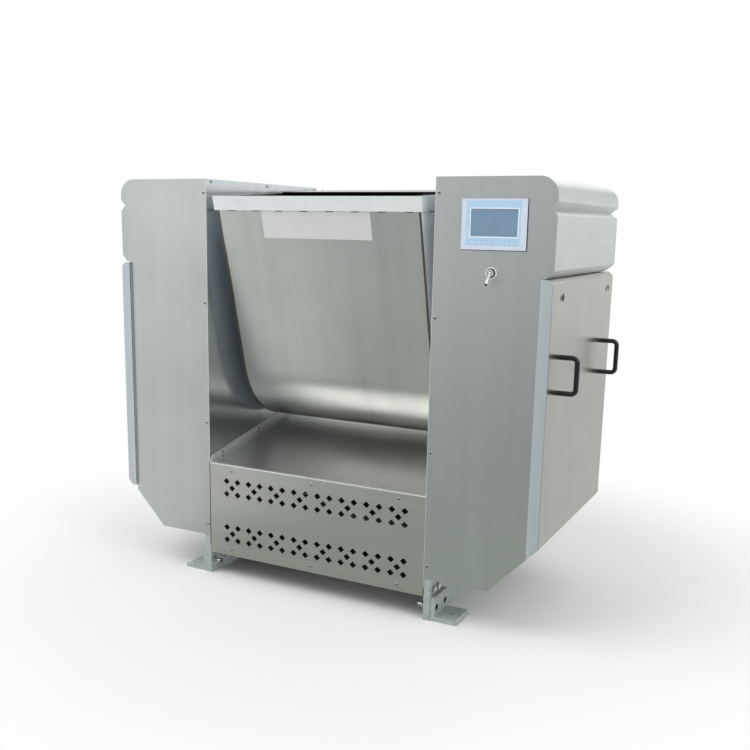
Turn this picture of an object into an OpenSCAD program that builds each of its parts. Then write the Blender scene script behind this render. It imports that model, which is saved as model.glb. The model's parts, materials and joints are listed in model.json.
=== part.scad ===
// Horizontal dough mixer: a tilting trough between two drive cabinets, an agitator on
// the tilt axis, belt and gearbox drive on the left, tilt gear and controls on the right.
// Millimetres. The origin is the centre of the four floor anchor holes, on the floor;
// +X is the machine's right seen from the front, +Y runs to the back and +Z is up.

/* [Cabinets] */
// Clear width of the bay between the two cabinets
bay_w = 904; // [890:2:960]
// Width of each cabinet
cab_w = 401; // [395:1:440]
// Depth of the cabinets, front panel to back
cab_d = 800; // [780:10:880]
// Height of the cabinets' tops above the floor
cab_top = 1505; // [1480:5:1600]
// Height of the cabinets' undersides above the floor
cab_low = 154; // [140:1:170]
// Thickness of the cabinet sheets
sheet = 2; // [1.5:0.5:3]
// Radius of the rounded top edge
top_round = 60; // [30:1:80]
// Drop from the top to the bottom of the V groove
groove_drop = 97; // [90:1:120]
// Depth of the V groove
groove_depth = 20; // [8:1:24]
// Height of the casing cap
cap_h = 308; // [290:1:330]
// Chamfer under the casing cap
cap_chamfer = 24; // [10:1:30]
// How far the walls stand in behind the cap's faces
side_inset = 40; // [30:1:50]
// Height where the outer wall starts to slope inwards
low_corner_z = 286; // [270:1:300]
// Width of the flat underside of a cabinet
low_edge_w = 232; // [200:1:260]

/* [Frame] */
// Thickness of the frame side plates
plate_t = 24; // [20:1:30]
// Side of the square cross beams
beam_s = 100; // [80:5:110]
// Wall of the cross beams
beam_wall = 6; // [4:1:10]
// Thickness of the end plates on the beams
beam_end_t = 10; // [8:1:16]
// Height of the cross beams' undersides above the floor
beam_low = 92; // [90:1:100]
// Side of the square rail under the base cover
rail_s = 30; // [20:1:40]
// Width of the motor rails
motor_rail_w = 60; // [50:1:80]
// Length of the anchor brackets
bracket_l = 120; // [110:2:140]
// Reach of the anchor brackets' floor flanges
bracket_w = 99; // [88:1:110]
// Height of the anchor brackets' upright legs
bracket_h = 86; // [80:1:90]
// Thickness of the anchor brackets
bracket_t = 17; // [15:1:20]
// Distance of the anchor brackets from the cabinet's front face
bracket_inset = 6; // [4:1:20]
// Radius of the floor anchor holes
anchor_r = 9; // [6:0.5:11]
// Distance of the anchor holes from the frame plate's outer face
anchor_out = 56; // [50:1:65]

/* [Base] */
// Height of the base panels' lower edge above the floor
base_low = 87; // [80:1:90]
// Height of the base cover's front edge above the main motor's shaft
cover_over_shaft = 123; // [110:1:130]
// Slope of the base cover, degrees
cover_slope = 11.3; // [9:0.1:11.8]
// Height of the base cover's side flanges
cover_flange = 20; // [12:1:26]
// Width of a perforation
hole_w = 28; // [16:1:30]
// Height of a perforation
hole_h = 25; // [12:1:28]
// Spacing of the perforation columns
hole_pitch = 50; // [45:1:52]
// Spacing of the two outer perforation rows of a band
hole_rows = 50; // [44:1:60]
// Least distance of the perforation columns from the panel's side edges
hole_edge = 50; // [40:1:60]
// Heights of the two perforation bands above the panel's lower edge
band_z = [88, 271];

/* [Doors] */
// Distance of a door's front face ahead of the front panel
door_proud = 8; // [4:1:12]
// Distance of a door's rear face ahead of the cabinet's back
door_back = 8; // [2:1:30]
// Gap between the casing cap and a door
door_gap = 3; // [2:0.5:6]
// Height of a door's lower edge above the wall's lower corner
door_low_gap = 19; // [10:1:30]
// Chamfer along a door's upper edge
door_top_chamfer = 16; // [8:1:20]
// Chamfer along a door's lower edge
door_low_chamfer = 22; // [8:1:26]
// Width of the frame round a door opening
opening_edge = 40; // [30:1:60]
// Radius of the handles' round rod
handle_rod_r = 8.5; // [6:0.5:10]
// Distance between the two feet of a handle
handle_span = 117; // [100:1:140]
// Reach of a handle from the door
handle_reach = 57; // [45:1:70]
// Radius of a handle's bends
handle_bend = 16; // [12:1:22]
// Distance of the handles ahead of and behind the middle
handle_y = 278; // [240:1:300]
// Height of the handles' middle above the door's lower edge
handle_up = 580; // [540:1:620]
// Drop of the door latches from the door's upper edge
latch_drop = 58; // [40:1:80]
// Distance of the front latch from the door's front edge
latch_front = 112; // [80:1:130]
// Distance of the rear latch from the door's rear edge
latch_rear = 82; // [70:1:130]
// Radius of a door latch
latch_r = 13; // [9:0.5:16]

/* [Bowl] */
// Height of the bowl's lowest point above the base cover's underside
bowl_over_cover = 38.08; // [36:0.01:60]
// Distance of the axis behind the middle of the cabinets
axis_y = 55; // [40:1:70]
// Outside radius of the trough's round bottom
bowl_r = 305; // [290:1:310]
// Gap between the bowl's end plates and the cabinets
bowl_gap = 49; // [40:1:60]
// Thickness of the trough sheet
bowl_t = 5; // [3:0.5:8]
// Thickness of the end plates
end_t = 8; // [6:1:12]
// Lean of the front and rear walls from upright, degrees
wall_lean = 11.5; // [9:0.5:13]
// Height of the rim above the axis with the bowl upright
rim_up = 590; // [540:5:610]
// Forward tilt of the bowl at rest, degrees
rest_tilt = 3.5; // [2:0.5:4]
// Height of the rim band
rim_h = 50; // [35:1:60]
// Thickness of the rim band
rim_t = 8; // [5:1:10]
// Thickness of the half lid
lid_t = 3; // [2:0.5:5]
// Distance of the half lid's front edge behind the axis
lid_front = 21; // [0:1:60]
// Width of the blank plate on the bowl's front
blank_w = 432; // [300:2:500]
// Height of the blank plate on the bowl's front
blank_h = 97; // [60:1:110]
// Thickness of the blank plate
blank_t = 1; // [0.8:0.1:2]

/* [Bearings and agitator] */
// Radius of the agitator shaft
shaft_r = 35; // [30:1:38]
// Outside radius of the trunnions
trunnion_r = 70; // [66:1:76]
// Inside radius of the trunnions
trunnion_bore = 45; // [42:1:50]
// Radius of the trunnion flanges
flange_r = 120; // [110:1:130]
// Thickness of the trunnion flanges
flange_t = 14; // [10:1:20]
// Radius of the bearing housings in the frame plates
housing_r = 95; // [90:1:98]
// Radius of the bearing housings' flanges
housing_flange_r = 125; // [120:1:130]
// Thickness of the bearing housings' flanges
housing_flange_t = 18; // [14:1:20]
// Clearance between the ends of the agitator arms and the trough
bar_gap = 15; // [10:1:30]
// Radius of the agitator bars
bar_r = 22; // [16:1:24]
// Thickness of the agitator arms
arm_t = 24; // [18:1:30]
// Width of the agitator arms
arm_w = 60; // [50:1:66]
// Number of agitator bars
bar_count = 3; // [2:1:4]

/* [Main drive] */
// Clearance under the main motor's body
motor_under = 14; // [8:1:20]
// Radius of the main motor's body
motor_r = 118; // [100:1:122]
// Length of the main motor's body
motor_l = 300; // [260:5:340]
// Radius of the motor pulley
motor_pulley_r = 62.5; // [55:0.5:70]
// Radius of the gearbox pulley
gearbox_pulley_r = 100; // [90:1:104]
// Radius of the motor shaft and the gearbox input shaft
drive_shaft_r = 19; // [16:1:22]
// Width of the pulleys
pulley_w = 66; // [60:1:72]
// Number of V belts
belt_count = 3; // [1:1:3]
// Gap between the gearbox pulley and the bearing housing above it
pulley_gap = 15; // [12:1:25]
// Width of the main gearbox
gearbox_w = 140; // [120:1:150]

/* [Tilt drive] */
// Gear module: pitch diameter over the number of teeth
gear_m = 8; // [7.8:0.1:8.2]
// Teeth on the bowl gear
bowl_teeth = 60; // [60:1:60]
// Teeth on the tilt pinion
pinion_teeth = 15; // [15:1:15]
// Face width of the bowl gear
gear_w = 30; // [20:1:34]
// Radius of the tilt pinion's shaft
pinion_shaft_r = 17.5; // [14:0.5:20]
// Width of the tilt gearbox
tilt_box_w = 130; // [110:1:150]
// Radius of the tilt motor
tilt_motor_r = 70; // [60:1:75]
// Length of the tilt motor
tilt_motor_l = 240; // [200:5:260]

/* [Controls] */
// Width of the touch panel
hmi_w = 214; // [190:1:230]
// Height of the touch panel
hmi_h = 158; // [140:1:170]
// How far the touch panel stands out of the front panel
hmi_t = 6; // [4:0.5:8]
// Drop of the touch panel's centre from the cabinet top
hmi_drop = 146.5; // [140:0.5:160]
// Distance of the touch panel's centre from the cabinet's inner edge
hmi_in = 201; // [180:1:220]
// Width of the screen
screen_w = 155; // [140:1:160]
// Height of the screen
screen_h = 86; // [70:1:90]
// Number of function keys
key_count = 8; // [8:1:8]
// Spacing of the function keys
key_pitch = 19; // [17:0.5:19.5]
// Drop of the lever switch from the cabinet top
switch_drop = 297; // [290:1:320]
// Distance of the lever switch from the cabinet's inner edge
switch_in = 198; // [180:1:220]
// Length of the switch lever from its pivot
lever_l = 52; // [35:1:60]
// Angle of the switch lever below level, degrees
lever_down = 45; // [30:1:50]

/* [Hidden] */
$fn = 64;

// Overrun of every cut, running fit of a shaft in its bore, and gap between pieces
over = 1;
fit = 0.05;
gap = 0.3;

// Faces of the cabinets, measured out from a cabinet's inner edge where they start with u
half_bay = bay_w / 2;
front_y = -cab_d / 2;
back_y = cab_d / 2;
u_plate = sheet;
u_plate_out = sheet + plate_t;
u_wall = cab_w - side_inset;
cap_z = cab_top - cap_h;
wall_back_y = back_y - side_inset;
bowl_l = bay_w - 2 * bowl_gap;
half_turn = 180;

// Cross beams, rails and the motor on them
beam_y = front_y + sheet + beam_s / 2;
beam_z = beam_low + beam_s / 2;
beam_top = beam_low + beam_s;
beam_bolt_r = 8;
beam_bolt_y_share = 0.18;
beam_bolt_z_share = 0.34;
beam_bolt_y = beam_s * beam_bolt_y_share;
beam_bolt_z = beam_s * beam_bolt_z_share;
motor_height = motor_r + motor_under;
motor_z = beam_top + motor_height;
base_front_z = motor_z + cover_over_shaft;
motor_front_gap = 14;
motor_face_x = -(half_bay - motor_front_gap);
motor_rail_h = 60;
motor_foot_gap = 178;
motor_foot_in = 80;

// Anchor brackets and their bolts
bracket_y = front_y + bracket_inset + bracket_l / 2;
bracket_bolt_r = 8;
bracket_bolt_z = 46;
bracket_bolt_y = 38;
bracket_chamfer = 5;
bolt_head_r = 12;
bolt_head_h = 12.5;
bolt_recess = 13.5;
bolt_socket_r = 8;
bolt_socket_h = 8;
nut_r = 13.4;
nut_h = 12;
bolt_end = 29;

// Screws of the panels
screw_r = 2.5;
screw_head_r = 5.5;
screw_head_h = 3;
screw_l = 12;
screw_slack = 0.4;
panel_screw_u = 12;
panel_screw_shares = [0.037, 0.3323, 0.6684, 0.9667];
panel_screw_drops = [for (share = panel_screw_shares) share * (cab_top - cab_low)];
wall_screw_shares = [0.04, 0.505, 0.97];
wall_screw_ys = [for (share = wall_screw_shares) share * cab_d];
wall_screw_drop = 9;
base_screw_in = 100;
base_screw_x = half_bay - base_screw_in;
base_screw_top = 23;
base_screw_low = 25;
flange_screw_shares = [0.09625, 0.40625, 0.8];
flange_screw_ys = [for (share = flange_screw_shares) share * cab_d];

// Base cover line: height of the cover's underside at a place y
function cover_z(y) = base_front_z + (y - front_y) * tan(cover_slope);
cover_w = bay_w - 2 * gap;
cover_back_y = back_y - sheet;
axis_z = cover_z(axis_y) + bowl_over_cover + bowl_r;
hole_cols = 2 * floor((bay_w - 2 * hole_edge) / hole_pitch / 2);
rear_slot_w = 120;
rear_slot_h = 8;
rear_slot_pitch = 24;
rear_slot_rows = 6;
rear_slot_cols = 4;
rear_slot_z = 150;
rear_slot_gap = 180;

// Doors
door_u = u_wall + gap;
door_top = cap_z - door_gap;
door_low = low_corner_z + door_low_gap;
door_front = front_y - door_proud;
door_l = back_y - door_back - door_front;
door_round = 12;
cover_in_gap = 2;

// Trunnion stack, measured out from the cabinet's inner edge
journal_u = 66;
hub_u = 70;
gear_u = 78;
gear_hub_w = 42;
gear_hub_r = 95;
gear_seat_step = 8;
gear_seat_r = trunnion_r - gear_seat_step;
gear_seat_u = hub_u + gear_hub_w;
housing_boss = 18;
housing_u = u_plate_out + housing_flange_t + housing_boss;
housing_bolt_r = 6;
housing_bolt_orbit = (housing_r + housing_flange_r) / 2;
trunnion_hole = 12;
flange_bolt_in = 22;
flange_bolt_orbit = flange_r - flange_bolt_in;
flange_bolt_r = 5;
bolt_count = 6;
bearing_l = 40;
seal_r = 58;
seal_proud = 4;
shaft_right_u = gear_seat_u + 11;
cap_ring_r = 42;
cap_ring_t = 8;

// Bowl gear and pinion
pitch_r = gear_m * bowl_teeth / 2;
pinion_r = gear_m * pinion_teeth / 2;
pressure = 20;
tooth_up_share = 0.8;
tooth_down_share = 1.1;
backlash = 0.5;
gear_web = 26;
gear_root_r = pitch_r - tooth_down_share * gear_m;
gear_hole_r = (gear_root_r - gear_hub_r) / 2 - gear_web;
gear_hole_orbit = (gear_root_r + gear_hub_r) / 2;
gear_hole_count = 6;
pinion_over = 2;
pinion_z = axis_z - pitch_r - pinion_r;

// Tilt gearmotor and its bracket
tilt_box_u = gear_u + gear_w + 20;
tilt_box_d = 150;
tilt_box_top = 80;
tilt_worm = 75;
tilt_motor_under = 10;
tilt_box_low = tilt_worm + tilt_motor_r + tilt_motor_under;
tilt_seat = 40;
tilt_flange_t = 12;
bracket_plate_t = 12;
tilt_bracket_w = 180;
tilt_bracket_h = 110;
tilt_gusset = 90;

// Agitator
arm_hub_r = 62;
arm_hub_w = 60;
arm_gap = 12;
arm_eye = 3;
bar_orbit = bowl_r - bowl_t - bar_gap - arm_w / 2 - arm_eye;

// Main gearbox and belts, measured out from the left cabinet's inner edge
pulley_mid_u = 68;
gearbox_u = 118;
gearbox_end_u = gearbox_u + gearbox_w;
gearbox_big_r = 125;
gearbox_small_r = 85;
gearbox_flange_t = 12;
gearbox_foot_r = 16;
gearbox_foot_y = 140;
gearbox_foot_up = 90;
gearbox_foot_low = 40;
input_seat = 45;
motor_hole_r = 42;
gearbox_drop = housing_flange_r + gearbox_pulley_r + pulley_gap;
input_z = axis_z - gearbox_drop;
belt_w = 13;
belt_t = 9;
belt_pitch = 19;
groove_slack = 0.4;
pulley_hub_r = 34;
pulley_dish = 14;
pulley_rim = 26;

// Controls: the plate stands on spacers on the right frame plate's outer face, in front
// of the bowl gear
control_w = 180;
control_h = 400;
control_t = 3;
control_back = 20;
control_drop = 635;
control_in = 10;
spacer_r = 8;
inverter_w = 140;
inverter_h = 250;
inverter_d = 150;
inverter_in = 8;
inverter_up = 10;
contactor_w = 45;
contactor_h = 80;
contactor_d = 90;
contactor_up = 275;
contactor_pitch = 56;
contactor_in = 8;
contactor_count = 3;
hmi_back = 40;
hmi_rim = 9;
hmi_slack = 2;
film_depth = 1.2;
screen_up = 6;
screen_t = 0.9;
key_w = 15;
key_h = 11;
key_t = 1.6;
key_travel = 0.5;
key_down = 56.5;
key_slack = 0.3;
bezel_r = 15;
bezel_t = 3;
washer_r = 13;
washer_t = 4;
collar_r = 12;
collar_t = 8;
lever_mouth = 9.6;
lever_ball = 6;
lever_neck = 3;
lever_tip = 4.6;
stem_r = 10.8;
stem_l = 40;
stem_nut_r = 15;
stem_nut_t = 5;

// Places the right cabinet's pieces at the inner edge of the right cabinet
module right_side() {
    translate([half_bay, 0, 0]) children();
}

// Mirrors the right cabinet's pieces for the left cabinet
module left_side() {
    mirror([1, 0, 0]) right_side() children();
}

// Extrudes a front view outline from one depth to another
module front_view(y_front, y_back) {
    translate([0, y_back, 0]) rotate([90, 0, 0]) linear_extrude(y_back - y_front) children();
}

// Extrudes a side view outline from one width to another
module side_view(x_low, x_high) {
    translate([x_low, 0, 0]) rotate([90, 0, 90]) linear_extrude(x_high - x_low) children();
}

// A round bar along X, Y
module bar_x(r, x_low, x_high) {
    translate([x_low, 0, 0]) rotate([0, 90, 0]) cylinder(r = r, h = x_high - x_low);
}

module bar_y(r, y_low, y_high) {
    translate([0, y_high, 0]) rotate([90, 0, 0]) cylinder(r = r, h = y_high - y_low);
}

// A box between two corners
module block(low, high) {
    translate(low) cube(high - low);
}

// Outline of the casing cap over a width w, inset by t from its outer faces
module cap_2d(w, t) {
    slant = t * sqrt(2);
    difference() {
        union() {
            translate([0, cap_z + t]) square([w - t, cap_h - top_round - t]);
            translate([0, cap_z + t]) square([w - top_round, cap_h - 2 * t]);
            translate([w - top_round, cab_top - top_round]) circle(r = top_round - t);
        }
        translate([w - groove_depth - slant, cab_top - groove_drop]) polygon([[0, 0],
            [groove_depth + slant + over, -groove_depth - slant - over],
            [groove_depth + slant + over, groove_depth + slant + over]]);
        translate([w + over, cap_z - over]) polygon([[0, 0],
            [-cap_chamfer - slant - 2 * over, 0], [0, cap_chamfer + slant + 2 * over]]);
    }
}

// Outline of the lower cabinet, inset by t from its outer faces
module shell_2d(t, u_in) {
    run = u_wall - low_edge_w;
    rise = low_corner_z - cab_low;
    slant = t * (sqrt(run * run + rise * rise) - run) / rise;
    slant_low = t * (sqrt(run * run + rise * rise) - rise) / run;
    polygon([[u_in, cab_low + t], [low_edge_w - slant, cab_low + t],
        [u_wall - t, low_corner_z + slant_low], [u_wall - t, cap_z], [u_in, cap_z]]);
}

// Cap block, inset by t, from the back of the front panel to the back of the cabinet
module cap_block(t) {
    depth = cab_d - sheet;
    intersection() {
        front_view(front_y + sheet - over, back_y + over) cap_2d(cab_w, t);
        translate([0, front_y + sheet, 0]) side_view(-over, cab_w + over) cap_2d(depth, t);
    }
}

module cabinet_cap() {
    difference() {
        intersection() {
            cap_block(0);
            block([u_plate_out + gap, front_y + sheet, cap_z], [cab_w, back_y, cab_top]);
        }
        intersection() {
            cap_block(sheet);
            block([-over, front_y, cap_z], [cab_w, back_y, cab_top]);
        }
        block([-over, front_y, cap_z - over],
            [u_wall - sheet, wall_back_y - sheet, cap_z + sheet + over]);
    }
}

module cabinet_shell() {
    door_y_low = front_y + sheet + opening_edge;
    door_y_high = wall_back_y - opening_edge;
    difference() {
        front_view(front_y + sheet, wall_back_y) shell_2d(0, u_plate_out + gap);
        front_view(front_y + sheet - over, wall_back_y - sheet) shell_2d(sheet, 0);
        block([0, front_y, cap_z - over], [u_wall - sheet, wall_back_y - sheet, cap_z + over]);
        block([u_wall - sheet - over, door_y_low, door_low + opening_edge],
            [u_wall + over, door_y_high, door_top - opening_edge]);
        block([u_plate_out + opening_edge, wall_back_y - sheet - over, door_low + opening_edge],
            [u_wall - opening_edge, wall_back_y + over, door_top - opening_edge]);
        block([0, wall_back_y - sheet - over, cab_low - over],
            [u_plate_out + beam_bolt_r + 2 * gap, wall_back_y + over, beam_top]);
    }
}

// Outline of a cabinet's front panel
module front_panel_2d() {
    polygon([[0, cab_low], [low_edge_w, cab_low], [u_wall, low_corner_z], [u_wall, cap_z],
        [cab_w - cap_chamfer, cap_z], [cab_w - cap_chamfer, cap_z + cap_chamfer], [0, cap_z
        + cap_chamfer]]);
    cap_2d(cab_w, 0);
}

module front_panel(hmi) {
    difference() {
        front_view(front_y, front_y + sheet) front_panel_2d();
        for (drop = panel_screw_drops)
            translate([panel_screw_u, 0, cab_top - drop])
                bar_y(screw_r + screw_slack, front_y - over, front_y + sheet + over);
        if (hmi) {
            translate([hmi_in, 0, cab_top - hmi_drop]) block(
                [-hmi_w / 2 + hmi_rim - hmi_slack, front_y - over, -hmi_h / 2 + hmi_rim - hmi_slack],
                [hmi_w / 2 - hmi_rim + hmi_slack, front_y + sheet + over,
                hmi_h / 2 - hmi_rim + hmi_slack]);
            translate([switch_in, 0, cab_top - switch_drop])
                bar_y(stem_r + fit, front_y - over, front_y + sheet + over);
        }
    }
}

// Frame side plate with its bearing bore and bolt holes
module frame_plate(motor_hole) {
    difference() {
        block([u_plate, front_y + sheet, 0], [u_plate_out, back_y - sheet, cab_top]);
        translate([0, axis_y, axis_z]) bar_x(housing_r + fit, -over, u_plate_out + over);
        housing_bolt_places() bar_x(housing_bolt_r + fit, u_plate_out - plate_t / 2, u_plate_out + over);
        beam_bolt_places() bar_x(beam_bolt_r + fit, -over, u_plate_out + over);
        bracket_bolt_places() bar_x(bracket_bolt_r + fit, -over, u_plate_out + over);
        for (drop = panel_screw_drops)
            translate([panel_screw_u, 0, cab_top - drop])
                bar_y(screw_r + fit, front_y, front_y + sheet + screw_l);
        for (place = wall_screw_ys)
            translate([0, front_y + place, cab_top - wall_screw_drop])
                bar_x(screw_r + fit, 0, u_plate + screw_l);
        for (place = flange_screw_ys)
            translate([0, front_y + place, cover_z(front_y + place) + sheet + cover_flange / 2])
                bar_x(screw_r + fit, 0, u_plate + screw_l);
        if (motor_hole)
            translate([0, axis_y, motor_z]) bar_x(motor_hole_r, -over, u_plate_out + over);
    }
}

// Repeats a piece front and back of the machine
module front_and_back() {
    children();
    mirror([0, 1, 0]) children();
}

module beam_bolt_places() {
    front_and_back()
        for (dy = [-beam_bolt_y, beam_bolt_y], dz = [-beam_bolt_z, beam_bolt_z])
            translate([0, beam_y + dy, beam_z + dz]) children();
}

module bracket_bolt_places() {
    front_and_back()
        for (dy = [-bracket_bolt_y, bracket_bolt_y])
            translate([0, bracket_y + dy, bracket_bolt_z]) children();
}

module housing_bolt_places() {
    for (i = [0 : bolt_count - 1])
        translate([0, axis_y, axis_z]) rotate([360 / bolt_count * i, 0, 0])
            translate([0, 0, housing_bolt_orbit]) children();
}

// Square tubes across the machine with bolted end plates
module cross_beams() {
    reach = half_bay + u_plate;
    color("slategray") front_and_back() difference() {
        union() {
            translate([0, beam_y, beam_z]) difference() {
                block([-reach, -beam_s / 2, -beam_s / 2], [reach, beam_s / 2, beam_s / 2]);
                block([-reach + beam_end_t, -beam_s / 2 + beam_wall, -beam_s / 2 + beam_wall],
                    [reach - beam_end_t, beam_s / 2 - beam_wall, beam_s / 2 - beam_wall]);
            }
        }
        for (side = [-1, 1], dy = [-beam_bolt_y, beam_bolt_y], dz = [-beam_bolt_z, beam_bolt_z])
            translate([side * reach, beam_y + dy, beam_z + dz])
                bar_x(beam_bolt_r + fit, -beam_end_t - over, beam_end_t + over);
        for (x = [-base_screw_x, 0, base_screw_x])
            translate([x, 0, base_low + base_screw_low])
                bar_y(screw_r + fit, front_y, front_y + sheet + screw_l);
    }
}

// Rails under the base cover's front and rear edges, and the two motor rails
module support_rails() {
    reach = half_bay + u_plate - gap;
    motor_reach = back_y - sheet - beam_s;
    color("slategray") {
        difference() {
            cover_rail(front_y + sheet, base_front_z - gap - rail_s);
            for (x = [-base_screw_x, 0, base_screw_x])
                translate([x, 0, base_front_z - base_screw_top])
                    bar_y(screw_r + fit, front_y, front_y + sheet + screw_l);
        }
        difference() {
            cover_rail(back_y - sheet - rail_s, cover_z(back_y - sheet - rail_s) - gap - rail_s);
            for (x = [-base_screw_x, 0, base_screw_x])
                translate([x, 0, rear_rail_z()])
                    bar_y(screw_r + fit, back_y - sheet - screw_l, back_y);
        }
        for (i = [0, 1])
            block([motor_face_x + motor_foot_in + i * motor_foot_gap - motor_rail_w / 2,
                -motor_reach, beam_top - motor_rail_h],
                [motor_face_x + motor_foot_in + i * motor_foot_gap + motor_rail_w / 2,
                motor_reach, beam_top]);
    }
}

function rear_rail_z() = cover_z(back_y - sheet - rail_s) - gap - rail_s / 2;

module cover_rail(y_low, z_low) {
    reach = half_bay + u_plate;
    block([-reach, y_low, z_low], [reach, y_low + rail_s, z_low + rail_s]);
}

// L brackets that hold the frame plates to the floor
module anchor_brackets() {
    color("silver") for (side = [0, 1]) mirror([side, 0, 0]) right_side() front_and_back()
        translate([u_plate_out, bracket_y, 0]) difference() {
            front_view(-bracket_l / 2, bracket_l / 2) polygon([[0, 0], [bracket_w, 0],
                [bracket_w, bracket_t - bracket_chamfer], [bracket_w - bracket_chamfer, bracket_t],
                [bracket_t, bracket_t], [bracket_t, bracket_h - bracket_chamfer],
                [bracket_t - bracket_chamfer, bracket_h], [0, bracket_h]]);
            translate([anchor_out, 0, -over]) cylinder(r = anchor_r, h = bracket_t + 2 * over);
            for (dy = [-bracket_bolt_y, bracket_bolt_y]) translate([0, dy, bracket_bolt_z]) {
                bar_x(bracket_bolt_r + fit, -over, bracket_t + over);
                bar_x(bolt_head_r + fit, bracket_t - bolt_recess, bracket_t + over);
            }
        }
}

// Hexagon of a nut or bolt head along X
module hex_x(r, x_low, x_high) {
    translate([x_low, 0, 0]) rotate([0, 90, 0]) cylinder(r = r, h = x_high - x_low, $fn = 6);
}

// Bolts of the brackets, the beams and the bearing housings, with their nuts
module frame_bolts() {
    head_u = u_plate_out + bracket_t - bolt_recess;
    color("gainsboro") for (side = [0, 1]) mirror([side, 0, 0]) right_side() {
        bracket_bolt_places() {
            difference() {
                union() {
                    bar_x(bolt_head_r, head_u, head_u + bolt_head_h);
                    bar_x(bracket_bolt_r, u_plate - bolt_end, head_u + over);
                }
                hex_x(bolt_socket_r, head_u + bolt_head_h - bolt_socket_h,
                    head_u + bolt_head_h + over);
            }
            difference() {
                hex_x(nut_r, u_plate - nut_h, u_plate);
                bar_x(bracket_bolt_r + fit, u_plate - nut_h - over, u_plate + over);
            }
        }
        beam_bolt_places() {
            hex_x(beam_bolt_r * 3 / 2, u_plate_out, u_plate_out + beam_bolt_r);
            bar_x(beam_bolt_r, u_plate - beam_end_t, u_plate_out + over);
        }
        housing_bolt_places() {
            hex_x(housing_bolt_r * 3 / 2, u_plate_out + housing_flange_t,
                u_plate_out + housing_flange_t + housing_bolt_r);
            bar_x(housing_bolt_r, u_plate_out - plate_t / 2, u_plate_out + housing_flange_t + over);
        }
    }
}

// Polished sheet on the inner face of a frame plate
module inner_wall(motor_hole) {
    difference() {
        block([0, front_y + sheet, beam_top + gap], [sheet, back_y - sheet, cab_top]);
        translate([0, axis_y, axis_z]) bar_x(trunnion_r + trunnion_hole, -over, sheet + over);
        for (place = wall_screw_ys)
            translate([0, front_y + place, cab_top - wall_screw_drop])
                bar_x(screw_r + screw_slack, -over, sheet + over);
        for (place = flange_screw_ys)
            translate([0, front_y + place, cover_z(front_y + place) + sheet + cover_flange / 2])
                bar_x(screw_r + screw_slack, -over, sheet + over);
        cover_rail_notches();
        if (motor_hole)
            translate([0, axis_y, motor_z]) bar_x(motor_hole_r, -over, sheet + over);
    }
}

// Cut-outs in an inner wall for the ends of the cover rails
module cover_rail_notches() {
    z_back = cover_z(back_y - sheet - rail_s) - gap - rail_s;
    block([-over, front_y, base_front_z - gap - rail_s - gap],
        [sheet + over, front_y + sheet + rail_s + gap, base_front_z]);
    block([-over, back_y - sheet - rail_s - gap, z_back - gap],
        [sheet + over, back_y, z_back + rail_s + gap]);
}

// Shallow pan outline: door or rear cover, from u_low to u_high
module pan_2d(u_low, u_high, t) {
    slant = t * sqrt(2);
    difference() {
        translate([u_low, door_low + t])
            square([u_high - u_low - t, door_top - door_low - 2 * t]);
        translate([u_high + over, door_top + over]) polygon([[0, 0],
            [-door_top_chamfer - slant - 2 * over, 0], [0, -door_top_chamfer - slant - 2 * over]]);
        translate([u_high + over, door_low - over]) polygon([[0, 0],
            [-door_low_chamfer - slant - 2 * over, 0], [0, door_low_chamfer + slant + 2 * over]]);
    }
}

// Lift-off service door: a pan over the opening in the outer wall
module service_door() {
    y_end = door_front + door_l;
    difference() {
        front_view(door_front, y_end) difference() {
            pan_2d(door_u, cab_w, 0);
            translate([door_u - over, door_low - over]) difference() {
                square(door_round + over);
                translate([door_round + over, door_round + over]) circle(r = door_round);
            }
        }
        front_view(door_front + sheet, y_end - sheet) pan_2d(door_u - over, cab_w, sheet);
        latch_places() bar_x(latch_r - sheet, cab_w - sheet - over, cab_w + over);
    }
}

module latch_places() {
    for (y = [door_front + latch_front, door_front + door_l - latch_rear])
        translate([0, y, door_top - latch_drop]) children();
}

// Quarter-turn latches in a door's upper corners
module door_latches() {
    latch_places() difference() {
        union() {
            bar_x(latch_r, cab_w, cab_w + latch_proud);
            bar_x(latch_r - sheet - fit, cab_w - latch_depth, cab_w + over);
            block([cab_w - latch_depth - sheet, -latch_cam_w / 2, -latch_cam_l],
                [cab_w - latch_depth, latch_cam_w / 2, latch_cam_w / 2]);
        }
        hex_x(latch_r / 2, cab_w - latch_socket, cab_w + latch_proud + over);
    }
}
latch_proud = 3;
latch_depth = 20;
latch_cam_w = 16;
latch_cam_l = 24;
latch_socket = 3;

// One U handle of round rod, feet on the door face
module handle() {
    half = handle_span / 2;
    grip_u = cab_w + handle_reach;
    for (side = [-1, 1]) {
        translate([0, 0, side * half]) bar_x(handle_rod_r, cab_w, grip_u - handle_bend);
        translate([grip_u - handle_bend, 0, side * (half - handle_bend)]) rotate([90, 0, 0])
            mirror([0, side < 0 ? 1 : 0, 0]) rotate_extrude(angle = 90)
                translate([handle_bend, 0]) circle(r = handle_rod_r);
    }
    translate([grip_u, 0, -half + handle_bend])
        cylinder(r = handle_rod_r, h = handle_span - 2 * handle_bend);
}

module door_handles() {
    for (y = [-handle_y, handle_y]) translate([0, y, door_low + handle_up]) handle();
}

// Pans that cover the openings in the cabinets' backs
module rear_covers() {
    color("silver") for (side = [0, 1]) mirror([side, 0, 0]) right_side() rear_cover();
}

module rear_cover() {
    u_low = u_plate_out + cover_in_gap;
    u_high = u_wall - cover_in_gap;
    difference() {
        side_view(u_low, u_high) pan_2d(wall_back_y, back_y, 0);
        side_view(u_low + sheet, u_high - sheet) pan_2d(wall_back_y - over, back_y, sheet);
    }
}

// Pan head screw along Y, head towards the front at the origin
module screw_y() {
    bar_y(screw_head_r, -screw_head_h, 0);
    bar_y(screw_r, -over, screw_l);
}

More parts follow.
